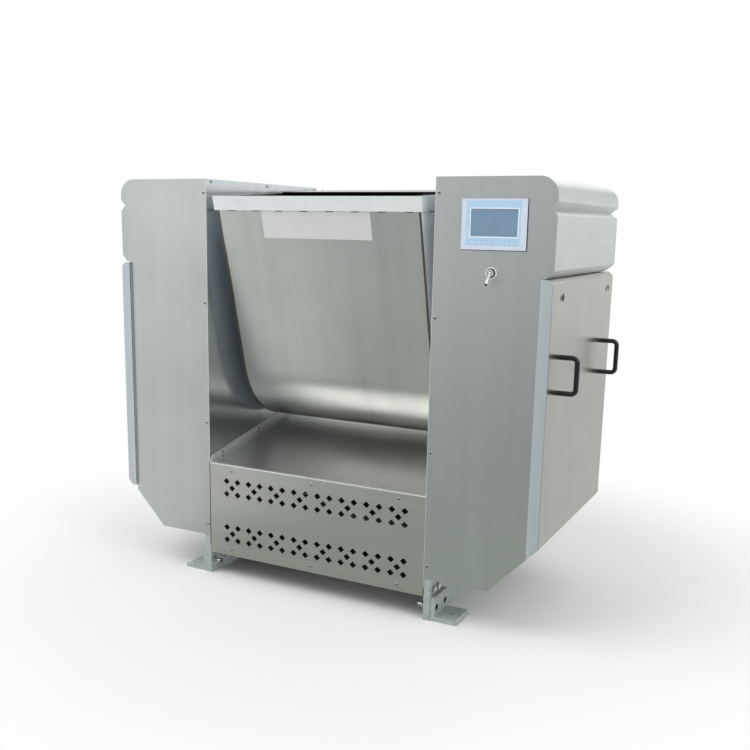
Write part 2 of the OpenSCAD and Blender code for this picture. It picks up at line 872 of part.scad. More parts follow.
module screw_x() {
    bar_x(screw_head_r, -screw_head_h, 0);
    bar_x(screw_r, -over, screw_l);
}

// All screws of the front panels, inner walls and base panels
module panel_screws() {
    color("silver") {
        for (side = [0, 1]) mirror([side, 0, 0]) right_side() {
            for (drop = panel_screw_drops)
                translate([panel_screw_u, front_y, cab_top - drop]) screw_y();
            for (place = wall_screw_ys)
                translate([0, front_y + place, cab_top - wall_screw_drop]) screw_x();
            for (place = flange_screw_ys)
                translate([-gap - sheet, front_y + place,
                    cover_z(front_y + place) + sheet + cover_flange / 2]) screw_x();
        }
        for (x = [-base_screw_x, 0, base_screw_x]) {
            translate([x, front_y, base_front_z - base_screw_top]) screw_y();
            translate([x, front_y, base_low + base_screw_low]) screw_y();
            translate([x, back_y, rear_rail_z()]) mirror([0, 1, 0]) screw_y();
            translate([x, back_y, base_low + base_screw_low]) mirror([0, 1, 0]) screw_y();
        }
    }
}

// Rhombic perforation
module rhomb() {
    polygon([[-hole_w / 2, 0], [0, -hole_h / 2], [hole_w / 2, 0], [0, hole_h / 2]]);
}

module base_front_panel() {
    half = half_bay - gap;
    first = -(hole_cols - 1) * hole_pitch / 2;
    color("silver") difference() {
        front_view(front_y, front_y + sheet) difference() {
            translate([-half, base_low]) square([2 * half, base_front_z - base_low]);
            for (z = band_z) translate([0, base_low + z]) {
                for (i = [0 : hole_cols - 1], side = [-1, 1])
                    translate([first + i * hole_pitch, side * hole_rows / 2]) rhomb();
                for (i = [0 : 2 : hole_cols - 2])
                    translate([first + (i + 1 / 2) * hole_pitch, 0]) rhomb();
            }
        }
        for (x = [-base_screw_x, 0, base_screw_x], z = [base_front_z - base_screw_top,
            base_low + base_screw_low])
            translate([x, 0, z])
                bar_y(screw_r + screw_slack, front_y - over, front_y + sheet + over);
    }
}

// Sloped sheet over the base with upturned side flanges
module base_cover() {
    half = cover_w / 2;
    z_back = cover_z(cover_back_y);
    color("gray") difference() {
        union() {
            side_view(-half, half) polygon([[front_y, base_front_z],
                [front_y, base_front_z + sheet], [cover_back_y, z_back + sheet],
                [cover_back_y, z_back]]);
            for (side = [0, 1]) mirror([side, 0, 0])
                side_view(half - sheet, half) polygon([[front_y, base_front_z],
                    [front_y, base_front_z + sheet], [front_y + cover_flange,
                    cover_z(front_y + cover_flange) + sheet + cover_flange],
                    [cover_back_y, z_back + sheet + cover_flange], [cover_back_y, z_back]]);
        }
        for (side = [0, 1], place = flange_screw_ys) mirror([side, 0, 0])
            translate([half, front_y + place, cover_z(front_y + place) + sheet + cover_flange / 2])
                bar_x(screw_r + screw_slack, -sheet - over, over);
    }
}

module base_rear_panel() {
    half = half_bay - gap;
    first = -(rear_slot_cols - 1) * rear_slot_gap / 2;
    color("silver") difference() {
        front_view(back_y - sheet, back_y) difference() {
            translate([-half, base_low]) square([2 * half, cover_z(cover_back_y) - base_low]);
            for (i = [0 : rear_slot_cols - 1], j = [0 : rear_slot_rows - 1])
                translate([first + i * rear_slot_gap - rear_slot_w / 2,
                    base_low + rear_slot_z + j * rear_slot_pitch])
                    square([rear_slot_w, rear_slot_h]);
        }
        for (x = [-base_screw_x, 0, base_screw_x], z = [rear_rail_z(), base_low + base_screw_low])
            translate([x, 0, z])
                bar_y(screw_r + screw_slack, back_y - sheet - over, back_y + over);
    }
}

// Puts a piece drawn on an upright bowl's axis at its place and rest tilt
module on_bowl() {
    translate([0, axis_y, axis_z]) rotate([rest_tilt, 0, 0]) children();
}

// Half width of the trough at a height above the axis, inset by t
function wall_y(z, t) = (bowl_r - t + z * sin(wall_lean)) / cos(wall_lean);

// Section of the trough up to a height above the axis, inset by t
module trough_2d(t, top) {
    r = bowl_r - t;
    circle(r = r);
    polygon([[r * cos(wall_lean), -r * sin(wall_lean)], [wall_y(top, t), top],
        [-wall_y(top, t), top], [-r * cos(wall_lean), -r * sin(wall_lean)]]);
}

module bowl_shell() {
    half = bowl_l / 2 - end_t;
    color("silver") on_bowl() side_view(-half, half) difference() {
        trough_2d(0, rim_up);
        trough_2d(bowl_t, rim_up + over);
    }
}

module bowl_end_plates() {
    color("lightgray") on_bowl() for (side = [0, 1]) mirror([side, 0, 0]) difference() {
        side_view(bowl_l / 2 - end_t, bowl_l / 2) trough_2d(0, rim_up);
        bar_x(seal_r + fit, 0, bowl_l);
        flange_bolt_places() bar_x(flange_bolt_r + fit, bowl_l / 2 - end_t / 2, bowl_l);
    }
}

module flange_bolt_places() {
    for (i = [0 : bolt_count - 1])
        rotate([360 / bolt_count * i, 0, 0]) translate([0, 0, flange_bolt_orbit]) children();
}

// Flat bar welded round the mouth of the bowl
module rim_band() {
    low = rim_up - rim_h;
    color("gainsboro") on_bowl() difference() {
        side_view(-bowl_l / 2 - rim_t, bowl_l / 2 + rim_t)
            polygon([[-wall_y(low, -rim_t), low], [wall_y(low, -rim_t), low],
                [wall_y(rim_up, -rim_t), rim_up], [-wall_y(rim_up, -rim_t), rim_up]]);
        side_view(-bowl_l / 2, bowl_l / 2)
            polygon([[-wall_y(low - over, 0), low - over], [wall_y(low - over, 0), low - over],
                [wall_y(rim_up + over, 0), rim_up + over],
                [-wall_y(rim_up + over, 0), rim_up + over]]);
    }
}

// Plate over the rear half of the mouth, flanged down outside the rim band
module rear_lid() {
    x_out = bowl_l / 2 + rim_t + gap;
    y_out = wall_y(rim_up, -rim_t) + gap;
    color("gainsboro") on_bowl() difference() {
        block([-x_out - lid_t, lid_front, rim_up - lid_flange],
            [x_out + lid_t, y_out + lid_t, rim_up + lid_t]);
        block([-x_out, lid_front - over, rim_up - lid_flange - over], [x_out, y_out, rim_up]);
        lid_bolt_places() cylinder(r = flange_bolt_r + fit, h = 2 * lid_t, center = true);
    }
}
lid_flange = 14;
lid_bolt_in = 4;
lid_head = 2.5;
lid_bolt_share = [0.2, 0.8];

module lid_bolt_places() {
    y_mid = wall_y(rim_up, 0) + rim_t / 2;
    for (side = [-1, 1], share = lid_bolt_share)
        translate([side * (bowl_l / 2 + lid_bolt_in), lid_front + share * (y_mid - lid_front),
            rim_up]) children();
}

// Bare plate on the front wall, under the rim band
module blank_plate() {
    top = rim_up - rim_h - blank_gap;
    slant = blank_h * cos(wall_lean);
    color("whitesmoke") on_bowl() side_view(-blank_w / 2, blank_w / 2)
        polygon([[-wall_y(top, 0), top], [-wall_y(top, -blank_t), top],
            [-wall_y(top - slant, -blank_t), top - slant], [-wall_y(top - slant, 0), top - slant]]);
}
blank_gap = 1;

// Hollow journals bolted to the end plates; the right one also carries the bowl gear
module trunnions() {
    color("lightsteelblue") on_bowl() for (side = [0, 1]) mirror([side, 0, 0]) difference() {
        union() {
            bar_x(flange_r, bowl_l / 2, bowl_l / 2 + flange_t);
            bar_x(trunnion_r, bowl_l / 2 + flange_t - over, half_bay + journal_u);
            if (side == 0)
                bar_x(gear_seat_r, half_bay + journal_u - over, half_bay + gear_seat_u);
        }
        bar_x(trunnion_bore, bowl_l / 2 - over, half_bay + gear_seat_u + over);
        flange_bolt_places() bar_x(flange_bolt_r + fit, bowl_l / 2 - over,
            bowl_l / 2 + flange_t + over);
    }
}

// Bearing sleeves of the agitator shaft inside the trunnions
module shaft_bearings() {
    color("goldenrod") translate([0, axis_y, axis_z]) for (side = [0, 1])
        mirror([side, 0, 0]) difference() {
            bar_x(trunnion_bore - fit, half_bay + journal_u - bearing_l, half_bay + journal_u);
            bar_x(shaft_r + fit, 0, bay_w);
        }
}

// Lip seals round the shaft in the end plates
module shaft_seals() {
    color("dimgray") translate([0, axis_y, axis_z]) for (side = [0, 1])
        mirror([side, 0, 0]) difference() {
            bar_x(seal_r, bowl_l / 2 - end_t - seal_proud, bowl_l / 2);
            bar_x(shaft_r + gap, 0, bay_w);
        }
}

// Bolts of the trunnion flanges and the half lid
module bowl_bolts() {
    head = flange_bolt_r * 3 / 2;
    color("gainsboro") on_bowl() {
        for (side = [0, 1]) mirror([side, 0, 0]) flange_bolt_places() {
            hex_x(head, bowl_l / 2 + flange_t, bowl_l / 2 + flange_t + flange_bolt_r);
            bar_x(flange_bolt_r, bowl_l / 2 - end_t / 2, bowl_l / 2 + flange_t + over);
        }
        lid_bolt_places() {
            translate([0, 0, lid_t]) cylinder(r = head, h = lid_head, $fn = 6);
            cylinder(r = flange_bolt_r, h = lid_t + over);
        }
    }
}

// Flanged housings of the trunnion bearings, spigoted into the frame plates
module bearing_housings() {
    color("darkslategray") translate([0, axis_y, axis_z]) for (side = [0, 1])
        mirror([side, 0, 0]) right_side() difference() {
            union() {
                bar_x(housing_r, u_plate, housing_u);
                bar_x(housing_flange_r, u_plate_out, u_plate_out + housing_flange_t);
            }
            bar_x(trunnion_r + fit, 0, housing_u + over);
            translate([0, -axis_y, -axis_z]) housing_bolt_places()
                bar_x(housing_bolt_r + fit, 0, housing_u);
        }
}

// Angle of the involute at a radius
function involute_angle(base, r) = let(a = acos(base / r)) tan(a) * 180 / PI - a;

// Outline points of one gear tooth, centred on the X axis, from root to root
function tooth_points(teeth, m) =
    let(
        pitch = m * teeth / 2,
        base = pitch * cos(pressure),
        root = pitch - tooth_down_share * m,
        tip = pitch + tooth_up_share * m,
        start = max(base, root),
        half = 90 / teeth - backlash / 2 / pitch * 180 / PI + involute_angle(base, pitch),
        flank = [for (i = [0 : flank_steps]) let(r = start + (tip - start) * i / flank_steps)
            [r, half - involute_angle(base, r)]],
        right = concat([[root, half - involute_angle(base, start)]], flank))
    concat([for (p = right) [p[0] * cos(-p[1]), p[0] * sin(-p[1])]],
        [for (i = [len(right) - 1 : -1 : 0]) let(p = right[i])
            [p[0] * cos(p[1]), p[0] * sin(p[1])]]);
flank_steps = 4;

module gear_2d(teeth, m) {
    tooth = tooth_points(teeth, m);
    polygon([for (i = [0 : teeth - 1]) let(a = 360 * i / teeth) for (p = tooth)
        [p[0] * cos(a) - p[1] * sin(a), p[0] * sin(a) + p[1] * cos(a)]]);
}

// Gear wheel on the right trunnion
module bowl_gear() {
    color("peru") translate([0, axis_y, axis_z]) right_side() difference() {
        union() {
            side_view(gear_u, gear_u + gear_w) gear_2d(bowl_teeth, gear_m);
            bar_x(gear_hub_r, hub_u, hub_u + gear_hub_w);
        }
        bar_x(gear_seat_r + fit, 0, gear_seat_u + over);
        for (i = [0 : gear_hole_count - 1]) rotate([360 / gear_hole_count * i, 0, 0])
            translate([0, 0, gear_hole_orbit]) bar_x(gear_hole_r, 0, gear_seat_u);
    }
}

module tilt_pinion() {
    color("sandybrown") translate([0, axis_y, pinion_z]) right_side() {
        rotate([90 + 180 / pinion_teeth, 0, 0]) side_view(gear_u - pinion_over,
            gear_u + gear_w + pinion_over) gear_2d(pinion_teeth, gear_m);
        bar_x(pinion_shaft_r, gear_u - 2 * pinion_over, tilt_box_u + tilt_seat);
    }
}

// Shelf on the frame plate that carries the tilt gearmotor
module tilt_bracket() {
    top = pinion_z - tilt_box_low;
    u_end = tilt_box_u + tilt_box_w;
    half = tilt_bracket_w / 2;
    color("slategray") translate([0, axis_y, 0]) right_side() {
        block([u_plate_out, -half, top - bracket_plate_t], [u_end, half, top]);
        block([u_plate_out, -half, top - tilt_bracket_h],
            [u_plate_out + bracket_plate_t, half, top - bracket_plate_t]);
        for (y = [-half, half - bracket_plate_t]) front_view(y, y + bracket_plate_t)
            translate([u_plate_out + bracket_plate_t, top - bracket_plate_t])
                polygon([[0, 0], [tilt_gusset, 0], [0, -tilt_gusset]]);
    }
}

// Worm gearbox with its motor pointing to the front
module tilt_gearmotor() {
    u_mid = tilt_box_u + tilt_box_w / 2;
    half = tilt_box_d / 2;
    fan_l = tilt_motor_l / 4;
    color("steelblue") translate([0, axis_y, pinion_z]) right_side() difference() {
        union() {
            block([tilt_box_u, -half, -tilt_box_low],
                [tilt_box_u + tilt_box_w, half, tilt_box_top]);
            translate([u_mid, 0, -tilt_worm]) {
                bar_y(tilt_motor_r, -half - tilt_motor_l + fan_l, -half + over);
                bar_y(tilt_motor_r - tilt_flange_t, -half - tilt_motor_l, -half);
                bar_y(tilt_motor_r + tilt_flange_t / 2, -half - tilt_flange_t, -half + over);
            }
        }
        bar_x(pinion_shaft_r + fit, tilt_box_u - over, tilt_box_u + tilt_seat + over);
    }
}

// Shaft through the bowl, into the gearbox at the left
module agitator_shaft() {
    right = half_bay + shaft_right_u;
    left = half_bay + gearbox_end_u + gap;
    color("lightgray") translate([0, axis_y, axis_z]) {
        bar_x(shaft_r, -left, right);
        bar_x(cap_ring_r, right - cap_ring_t, right);
        bar_x(cap_ring_r, -left - cap_ring_t, -left);
    }
}

// Arms at both ends of the bowl, between the shaft and the bars
module agitator_arms() {
    x_in = bowl_l / 2 - end_t - arm_gap - arm_hub_w;
    color("gainsboro") translate([0, axis_y, axis_z]) for (side = [0, 1])
        mirror([side, 0, 0]) difference() {
            union() {
                side_view(x_in, x_in + arm_t) arm_star_2d();
                bar_x(arm_hub_r, x_in + arm_t - over, x_in + arm_hub_w);
            }
            bar_x(shaft_r + fit, 0, bowl_l);
        }
}

// Star of arms with an eye at each end for a bar's tail
module arm_star_2d() {
    difference() {
        union() {
            circle(r = arm_hub_r);
            for (i = [0 : bar_count - 1]) rotate(360 / bar_count * i) {
                translate([-arm_w / 2, 0]) square([arm_w, bar_orbit]);
                translate([0, bar_orbit]) circle(r = arm_w / 2 + arm_eye);
            }
        }
        for (i = [0 : bar_count - 1]) rotate(360 / bar_count * i)
            translate([0, bar_orbit]) circle(r = bar_r / 2 + fit);
    }
}

// Round bars along the bowl, with a thinner tail through each arm
module agitator_bars() {
    x_in = bowl_l / 2 - end_t - arm_gap - arm_hub_w;
    color("silver") translate([0, axis_y, axis_z]) for (i = [0 : bar_count - 1])
        rotate([360 / bar_count * i, 0, 0]) translate([0, 0, bar_orbit]) {
            bar_x(bar_r, -x_in, x_in);
            bar_x(bar_r / 2, -x_in - arm_t, x_in + arm_t);
        }
}

// Foot mounted motor in the base, its shaft end towards the left cabinet
module main_motor() {
    fin_l = motor_l * 3 / 4;
    color("steelblue") translate([motor_face_x, axis_y, motor_z]) difference() {
        union() {
            bar_x(motor_r - motor_fin, 0, motor_l);
            bar_x(motor_r, 0, motor_flange);
            bar_x(motor_r, motor_l - motor_flange * 3, motor_l);
            for (i = [0 : motor_fins - 1]) rotate([360 / motor_fins * i, 0, 0])
                block([motor_flange - over, -motor_fin_t / 2, motor_r - 2 * motor_fin],
                    [fin_l, motor_fin_t / 2, motor_r - motor_fin / 4]);
            for (i = [0, 1], side = [-1, 1])
                translate([motor_foot_in + i * motor_foot_gap, side * motor_foot_y, 0])
                    block([-motor_rail_w / 2, -motor_foot_w / 2, -motor_height],
                        [motor_rail_w / 2, motor_foot_w / 2, -motor_height + motor_foot_up]);
            block([motor_box_in, -motor_box_w / 2, motor_r - 2 * motor_fin],
                [motor_box_in + motor_box_w, motor_box_w / 2, motor_r + motor_box_up]);
        }
        bar_x(drive_shaft_r + fit, -over, motor_seat);
    }
}
motor_fin = 10;
motor_fin_t = 5;
motor_fins = 24;
motor_flange = 16;
motor_foot_y = 92;
motor_foot_w = 50;
motor_foot_up = 60;
motor_box_in = 60;
motor_box_w = 110;
motor_box_up = 34;
motor_seat = 60;

// Grooved pulley between two widths, measured along its own axis
module pulley(r) {
    rotate([0, 90, 0]) rotate_extrude() difference() {
        translate([0, -pulley_w / 2]) square([r, pulley_w]);
        for (i = [0 : belt_count - 1]) translate([r - belt_t - groove_slack,
            (i - (belt_count - 1) / 2) * belt_pitch - belt_w / 2 - groove_slack])
            square([belt_t + groove_slack + over, belt_w + 2 * groove_slack]);
    }
}

module motor_pulley() {
    u_end = pulley_mid_u + pulley_w / 2;
    color("dimgray") translate([0, axis_y, motor_z]) {
        translate([-half_bay - pulley_mid_u, 0, 0]) pulley(motor_pulley_r);
        bar_x(drive_shaft_r, -half_bay - u_end - over, motor_face_x + motor_seat - over);
    }
}

module gearbox_pulley() {
    color("dimgray") translate([0, axis_y, input_z]) {
        translate([-half_bay - pulley_mid_u, 0, 0]) difference() {
            pulley(gearbox_pulley_r);
            rotate([0, 90, 0]) rotate_extrude()
                translate([pulley_hub_r, -pulley_w / 2 - over]) square([gearbox_pulley_r
                    - pulley_rim - pulley_hub_r, pulley_dish + over]);
        }
        bar_x(drive_shaft_r, -half_bay - gearbox_u - input_seat, -half_bay - pulley_mid_u);
    }
}

// Points of an arc in the plane
function arc_points(y, z, r, from, to) = [for (i = [0 : arc_steps])
    let(a = from + (to - from) * i / arc_steps) [y + r * cos(a), z + r * sin(a)]];
arc_steps = 36;

// Outline round two circles, a larger one above a smaller one, with tangent sides
module two_circles_2d(y, z_low, r_low, z_high, r_high) {
    lean = asin((r_high - r_low) / (z_high - z_low));
    polygon(concat(arc_points(y, z_high, r_high, -lean, half_turn + lean),
        arc_points(y, z_low, r_low, half_turn + lean, 2 * half_turn - lean)));
}

// Area inside a belt, grown by t
module belt_2d(t) {
    two_circles_2d(axis_y, motor_z, motor_pulley_r - belt_t + t, input_z,
        gearbox_pulley_r - belt_t + t);
}

module drive_belts() {
    color("black") for (i = [0 : belt_count - 1])
        translate([-half_bay - pulley_mid_u + (i - (belt_count - 1) / 2) * belt_pitch, 0, 0])
            side_view(-belt_w / 2, belt_w / 2) difference() {
                belt_2d(belt_t);
                belt_2d(0);
            }
}

// Outline of the main gearbox round its two shafts, grown by t
module gearbox_2d(t) {
    two_circles_2d(0, -gearbox_drop, gearbox_small_r + t, 0, gearbox_big_r + t);
}

// Gearbox on the end of the shaft, with cast legs to the frame plate
module main_gearbox() {
    legs = [[-gearbox_foot_y, gearbox_foot_up], [gearbox_foot_y, gearbox_foot_up],
        [-gearbox_foot_y, -gearbox_drop - gearbox_foot_low],
        [gearbox_foot_y, -gearbox_drop - gearbox_foot_low]];
    color("steelblue") mirror([1, 0, 0]) translate([half_bay, axis_y, axis_z]) difference() {
        union() {
            side_view(gearbox_u, gearbox_end_u) gearbox_2d(0);
            side_view(gearbox_u, gearbox_u + gearbox_flange_t) gearbox_2d(gearbox_flange_t);
            for (leg = legs) {
                translate([0, leg[0], leg[1]]) bar_x(gearbox_foot_r, u_plate_out,
                    gearbox_u + gearbox_flange_t);
                side_view(gearbox_u, gearbox_u + gearbox_flange_t) polygon([
                    [0, leg[1] - gearbox_foot_r], [leg[0], leg[1] - gearbox_foot_r],
                    [leg[0], leg[1] + gearbox_foot_r], [0, leg[1] + gearbox_foot_r]]);
            }
        }
        bar_x(shaft_r + fit, 0, gearbox_end_u + over);
        translate([0, 0, -gearbox_drop])
            bar_x(drive_shaft_r + fit, gearbox_u - over, gearbox_u + input_seat + over);
    }
}

// Mounting plate on spacers with the inverter and a row of contactors
module control_gear() {
    face = control_back + control_t;
    color("dimgray") translate([half_bay + u_plate_out, front_y + control_in,
        cab_top - control_drop]) {
        block([control_back, 0, 0], [face, control_w, control_h]);
        for (y = [2 * spacer_r, control_w - 2 * spacer_r],
            z = [2 * spacer_r, control_h - 2 * spacer_r])
            translate([0, y, z]) bar_x(spacer_r, 0, control_back + over);
        block([face - over, inverter_in, inverter_up],
            [face + inverter_d, inverter_in + inverter_w, inverter_up + inverter_h]);
        for (i = [0 : contactor_count - 1])
            translate([0, contactor_in + i * contactor_pitch, contactor_up])
                block([face - over, 0, 0], [face + contactor_d, contactor_w, contactor_h]);
    }
}

// Moves a piece to the centre of the touch panel's front face
module at_hmi() {
    translate([half_bay + hmi_in, front_y - hmi_t, cab_top - hmi_drop]) children();
}

module key_places(first, last) {
    for (i = [first : last])
        translate([(i - (key_count + 1) / 2) * key_pitch, 0, -key_down]) children();
}

// Touch panel housing: front frame with a recess for the film, box behind the panel
module hmi_housing() {
    color("lightblue") at_hmi() difference() {
        union() {
            block([-hmi_w / 2, 0, -hmi_h / 2], [hmi_w / 2, hmi_t, hmi_h / 2]);
            block([-hmi_w / 2 + hmi_rim, hmi_t - over, -hmi_h / 2 + hmi_rim],
                [hmi_w / 2 - hmi_rim, hmi_t + hmi_back, hmi_h / 2 - hmi_rim]);
        }
        block([-screen_w / 2, -over, screen_up - screen_h / 2],
            [screen_w / 2, film_depth, screen_up + screen_h / 2]);
        key_places(1, key_count) block([-key_w / 2 - key_slack, -over, -key_h / 2 - key_slack],
            [key_w / 2 + key_slack, key_t, key_h / 2 + key_slack]);
    }
}

module hmi_screen() {
    color("slategray") at_hmi() block([-screen_w / 2 + gap, film_depth - screen_t,
        screen_up - screen_h / 2 + gap], [screen_w / 2 - gap, film_depth,
        screen_up + screen_h / 2 - gap]);
}

// Function key i, standing its travel and a little more off the floor of its well
module function_key(i) {
    color("aliceblue") at_hmi() key_places(i, i)
        block([-key_w / 2, -key_travel - key_slack, -key_h / 2],
            [key_w / 2, key_t - key_travel - key_slack / 2, key_h / 2]);
}

// Moves a piece to the centre of the lever switch on the panel's face
module at_switch() {
    translate([half_bay + switch_in, front_y, cab_top - switch_drop]) children();
}

// Switch body: bezel, washer and collar in front, threaded stem and nut behind
module switch_body() {
    front = bezel_t + washer_t + collar_t;
    color("silver") at_switch() difference() {
        union() {
            bar_y(bezel_r, -bezel_t, 0);
            bar_y(washer_r, -bezel_t - washer_t, -bezel_t + over);
            bar_y(collar_r, -front, -bezel_t - washer_t + over);
            bar_y(stem_r, -over, sheet + stem_l);
            bar_y(stem_nut_r, sheet, sheet + stem_nut_t);
        }
        translate([0, -lever_y, 0]) {
            sphere(r = lever_ball + gap);
            bar_x(lever_pin_r + fit, -lever_pin_l / 2 - gap, lever_pin_l / 2 + gap);
        }
        bar_y(lever_mouth, -front - over, -lever_y);
    }
}
lever_y = 10;
lever_pin_r = 1.5;
lever_pin_l = 20;

module switch_lever() {
    color("gainsboro") at_switch() translate([0, -lever_y, 0]) rotate([lever_down, 0, 0]) {
        sphere(r = lever_ball);
        bar_x(lever_pin_r, -lever_pin_l / 2, lever_pin_l / 2);
        bar_y(lever_neck, -lever_l * lever_shares[0], 0);
        translate([0, -lever_l * lever_shares[1], 0]) rotate([90, 0, 0])
            cylinder(r1 = lever_neck, r2 = lever_tip, h = lever_l * lever_shares[2]);
        translate([0, -lever_l + lever_tip, 0]) sphere(r = lever_tip);
        bar_y(lever_tip, -lever_l + lever_tip, -lever_l * (lever_shares[1] + lever_shares[2]));
    }
}
lever_shares = [0.4, 0.3, 0.3];

color("lightslategray") left_side() frame_plate(true);  // frame_plate_left
color("lightslategray") right_side() frame_plate(false);  // frame_plate_right
cross_beams();
support_rails();
anchor_brackets();
frame_bolts();
color("darkgray") left_side() inner_wall(true);  // inner_wall_left
color("darkgray") right_side() inner_wall(false);  // inner_wall_right
color("silver") left_side() front_panel(false);  // front_panel_left
color("silver") right_side() front_panel(true);  // front_panel_right
color("gainsboro") left_side() cabinet_cap();  // cabinet_cap_left
color("gainsboro") right_side() cabinet_cap();  // cabinet_cap_right
color("darkgray") left_side() cabinet_shell();  // cabinet_shell_left
color("darkgray") right_side() cabinet_shell();  // cabinet_shell_right
rear_covers();
color("silver") left_side() service_door();  // service_door_left
color("silver") right_side() service_door();  // service_door_right
color("black") left_side() door_handles();  // door_handles_left
color("black") right_side() door_handles();  // door_handles_right
color("dimgray") left_side() door_latches();  // door_latches_left
color("dimgray") right_side() door_latches();  // door_latches_right
panel_screws();
base_front_panel();
base_cover();
base_rear_panel();
bowl_shell();
bowl_end_plates();
rim_band();
rear_lid();
blank_plate();
trunnions();
shaft_bearings();
shaft_seals();
bowl_gear();
bowl_bolts();
bearing_housings();
agitator_shaft();
agitator_arms();
agitator_bars();
main_motor();
motor_pulley();
drive_belts();
main_gearbox();
gearbox_pulley();
tilt_bracket();
tilt_gearmotor();
tilt_pinion();
control_gear();
hmi_housing();
hmi_screen();
function_key(1);  // function_key_1
function_key(2);  // function_key_2
function_key(3);  // function_key_3
function_key(4);  // function_key_4
function_key(5);  // function_key_5
function_key(6);  // function_key_6
function_key(7);  // function_key_7
function_key(8);  // function_key_8
switch_body();
switch_lever();
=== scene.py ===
import json
import math

import bmesh
import bpy
from mathutils import Matrix, Vector


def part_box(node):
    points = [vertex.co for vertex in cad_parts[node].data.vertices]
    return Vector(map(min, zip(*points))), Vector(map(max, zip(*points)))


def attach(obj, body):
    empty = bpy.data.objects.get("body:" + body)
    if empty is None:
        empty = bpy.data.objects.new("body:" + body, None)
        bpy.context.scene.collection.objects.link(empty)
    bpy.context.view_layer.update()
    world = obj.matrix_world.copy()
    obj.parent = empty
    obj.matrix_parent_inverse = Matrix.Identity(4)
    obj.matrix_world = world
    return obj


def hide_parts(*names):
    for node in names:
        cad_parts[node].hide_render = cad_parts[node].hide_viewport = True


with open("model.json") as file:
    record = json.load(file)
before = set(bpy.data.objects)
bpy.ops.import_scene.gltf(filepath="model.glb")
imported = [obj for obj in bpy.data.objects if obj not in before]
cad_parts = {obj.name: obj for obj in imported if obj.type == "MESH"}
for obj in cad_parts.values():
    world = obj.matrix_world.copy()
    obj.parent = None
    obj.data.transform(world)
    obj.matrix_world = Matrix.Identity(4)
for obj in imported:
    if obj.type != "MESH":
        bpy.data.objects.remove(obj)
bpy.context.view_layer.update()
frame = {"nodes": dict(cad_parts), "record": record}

# Camera: where the photographer stood, to the right of the machine's front and at
# about its top's height. The yaw, pitch and roll come from the cabinets' straight
# edges in the photograph, and the shift from its vanishing points.
camera_place = Vector((1.660, -3.222, 1.3465))
camera_yaw, camera_pitch, camera_roll = (math.radians(a) for a in (27.485, 11.461, 1.004))
photo_px, focal_px = 750, 933.7
principal_px = Vector((359.5, 415.3))

forward = Vector((-math.sin(camera_yaw) * math.cos(camera_pitch),
                  math.cos(camera_yaw) * math.cos(camera_pitch), -math.sin(camera_pitch)))
level = Vector((math.cos(camera_yaw), math.sin(camera_yaw), 0))
upward = level.cross(forward)
across = level * math.cos(camera_roll) + upward * math.sin(camera_roll)
upward = across.cross(forward)

camera_data = bpy.data.cameras.new("photo_camera")
camera_data.sensor_width = 36
camera_data.lens = focal_px * camera_data.sensor_width / photo_px
camera_data.shift_x = (photo_px / 2 - principal_px.x) / photo_px
camera_data.shift_y = (principal_px.y - photo_px / 2) / photo_px
camera = bpy.data.objects.new("photo_camera", camera_data)
camera.matrix_world = Matrix.Translation(camera_place) @ Matrix(
    (across, upward, -forward)).transposed().to_4x4()
bpy.context.scene.collection.objects.link(camera)
bpy.context.scene.camera = camera
bpy.context.scene.view_settings.view_transform = "Standard"

# Studio: a pale floor under white tent cloth, lit by large soft boxes. Steel mirrors the
# cloth and the floor, which are greyer on the side of the camera, and the floor close in
# front of the machine, which is greyer still.
tent_white, tent_grey, tent_back = "ffffff", "b5b9b9", "dfe3e2"
floor_white, floor_low, floor_close = "fafbfa", "dddedd", "a6aba4"
grey_side, grey_from, grey_to = Vector((0.42, -0.90, 0)).normalized(), 0.33, 0.85
back_side, back_from, back_to = Vector((0, 0.90, 0.44)).normalized(), 0.82, 0.97
low_from, low_to = 0.03, -0.14
tent_light, floor_glow = 0.68, 0.88


def linear(hex_colour):
    """Linear RGBA of an sRGB colour written as six hex digits."""
    channels = [int(hex_colour[i:i + 2], 16) / 255 for i in (0, 2, 4)]
    return (*(c / 12.92 if c <= 0.04045 else ((c + 0.055) / 1.055) ** 2.4
              for c in channels), 1)


def add(tree, kind, sockets=None, **settings):
    """Adds a node, sets its settings, and fills its sockets with values or links."""
    node = tree.nodes.new(kind)
    for name, value in settings.items():
        setattr(node, name, value)
    for name, value in (sockets or {}).items():
        if isinstance(value, bpy.types.NodeSocket):
            tree.links.new(value, node.inputs[name])
        else:
            node.inputs[name].default_value = value
    return node


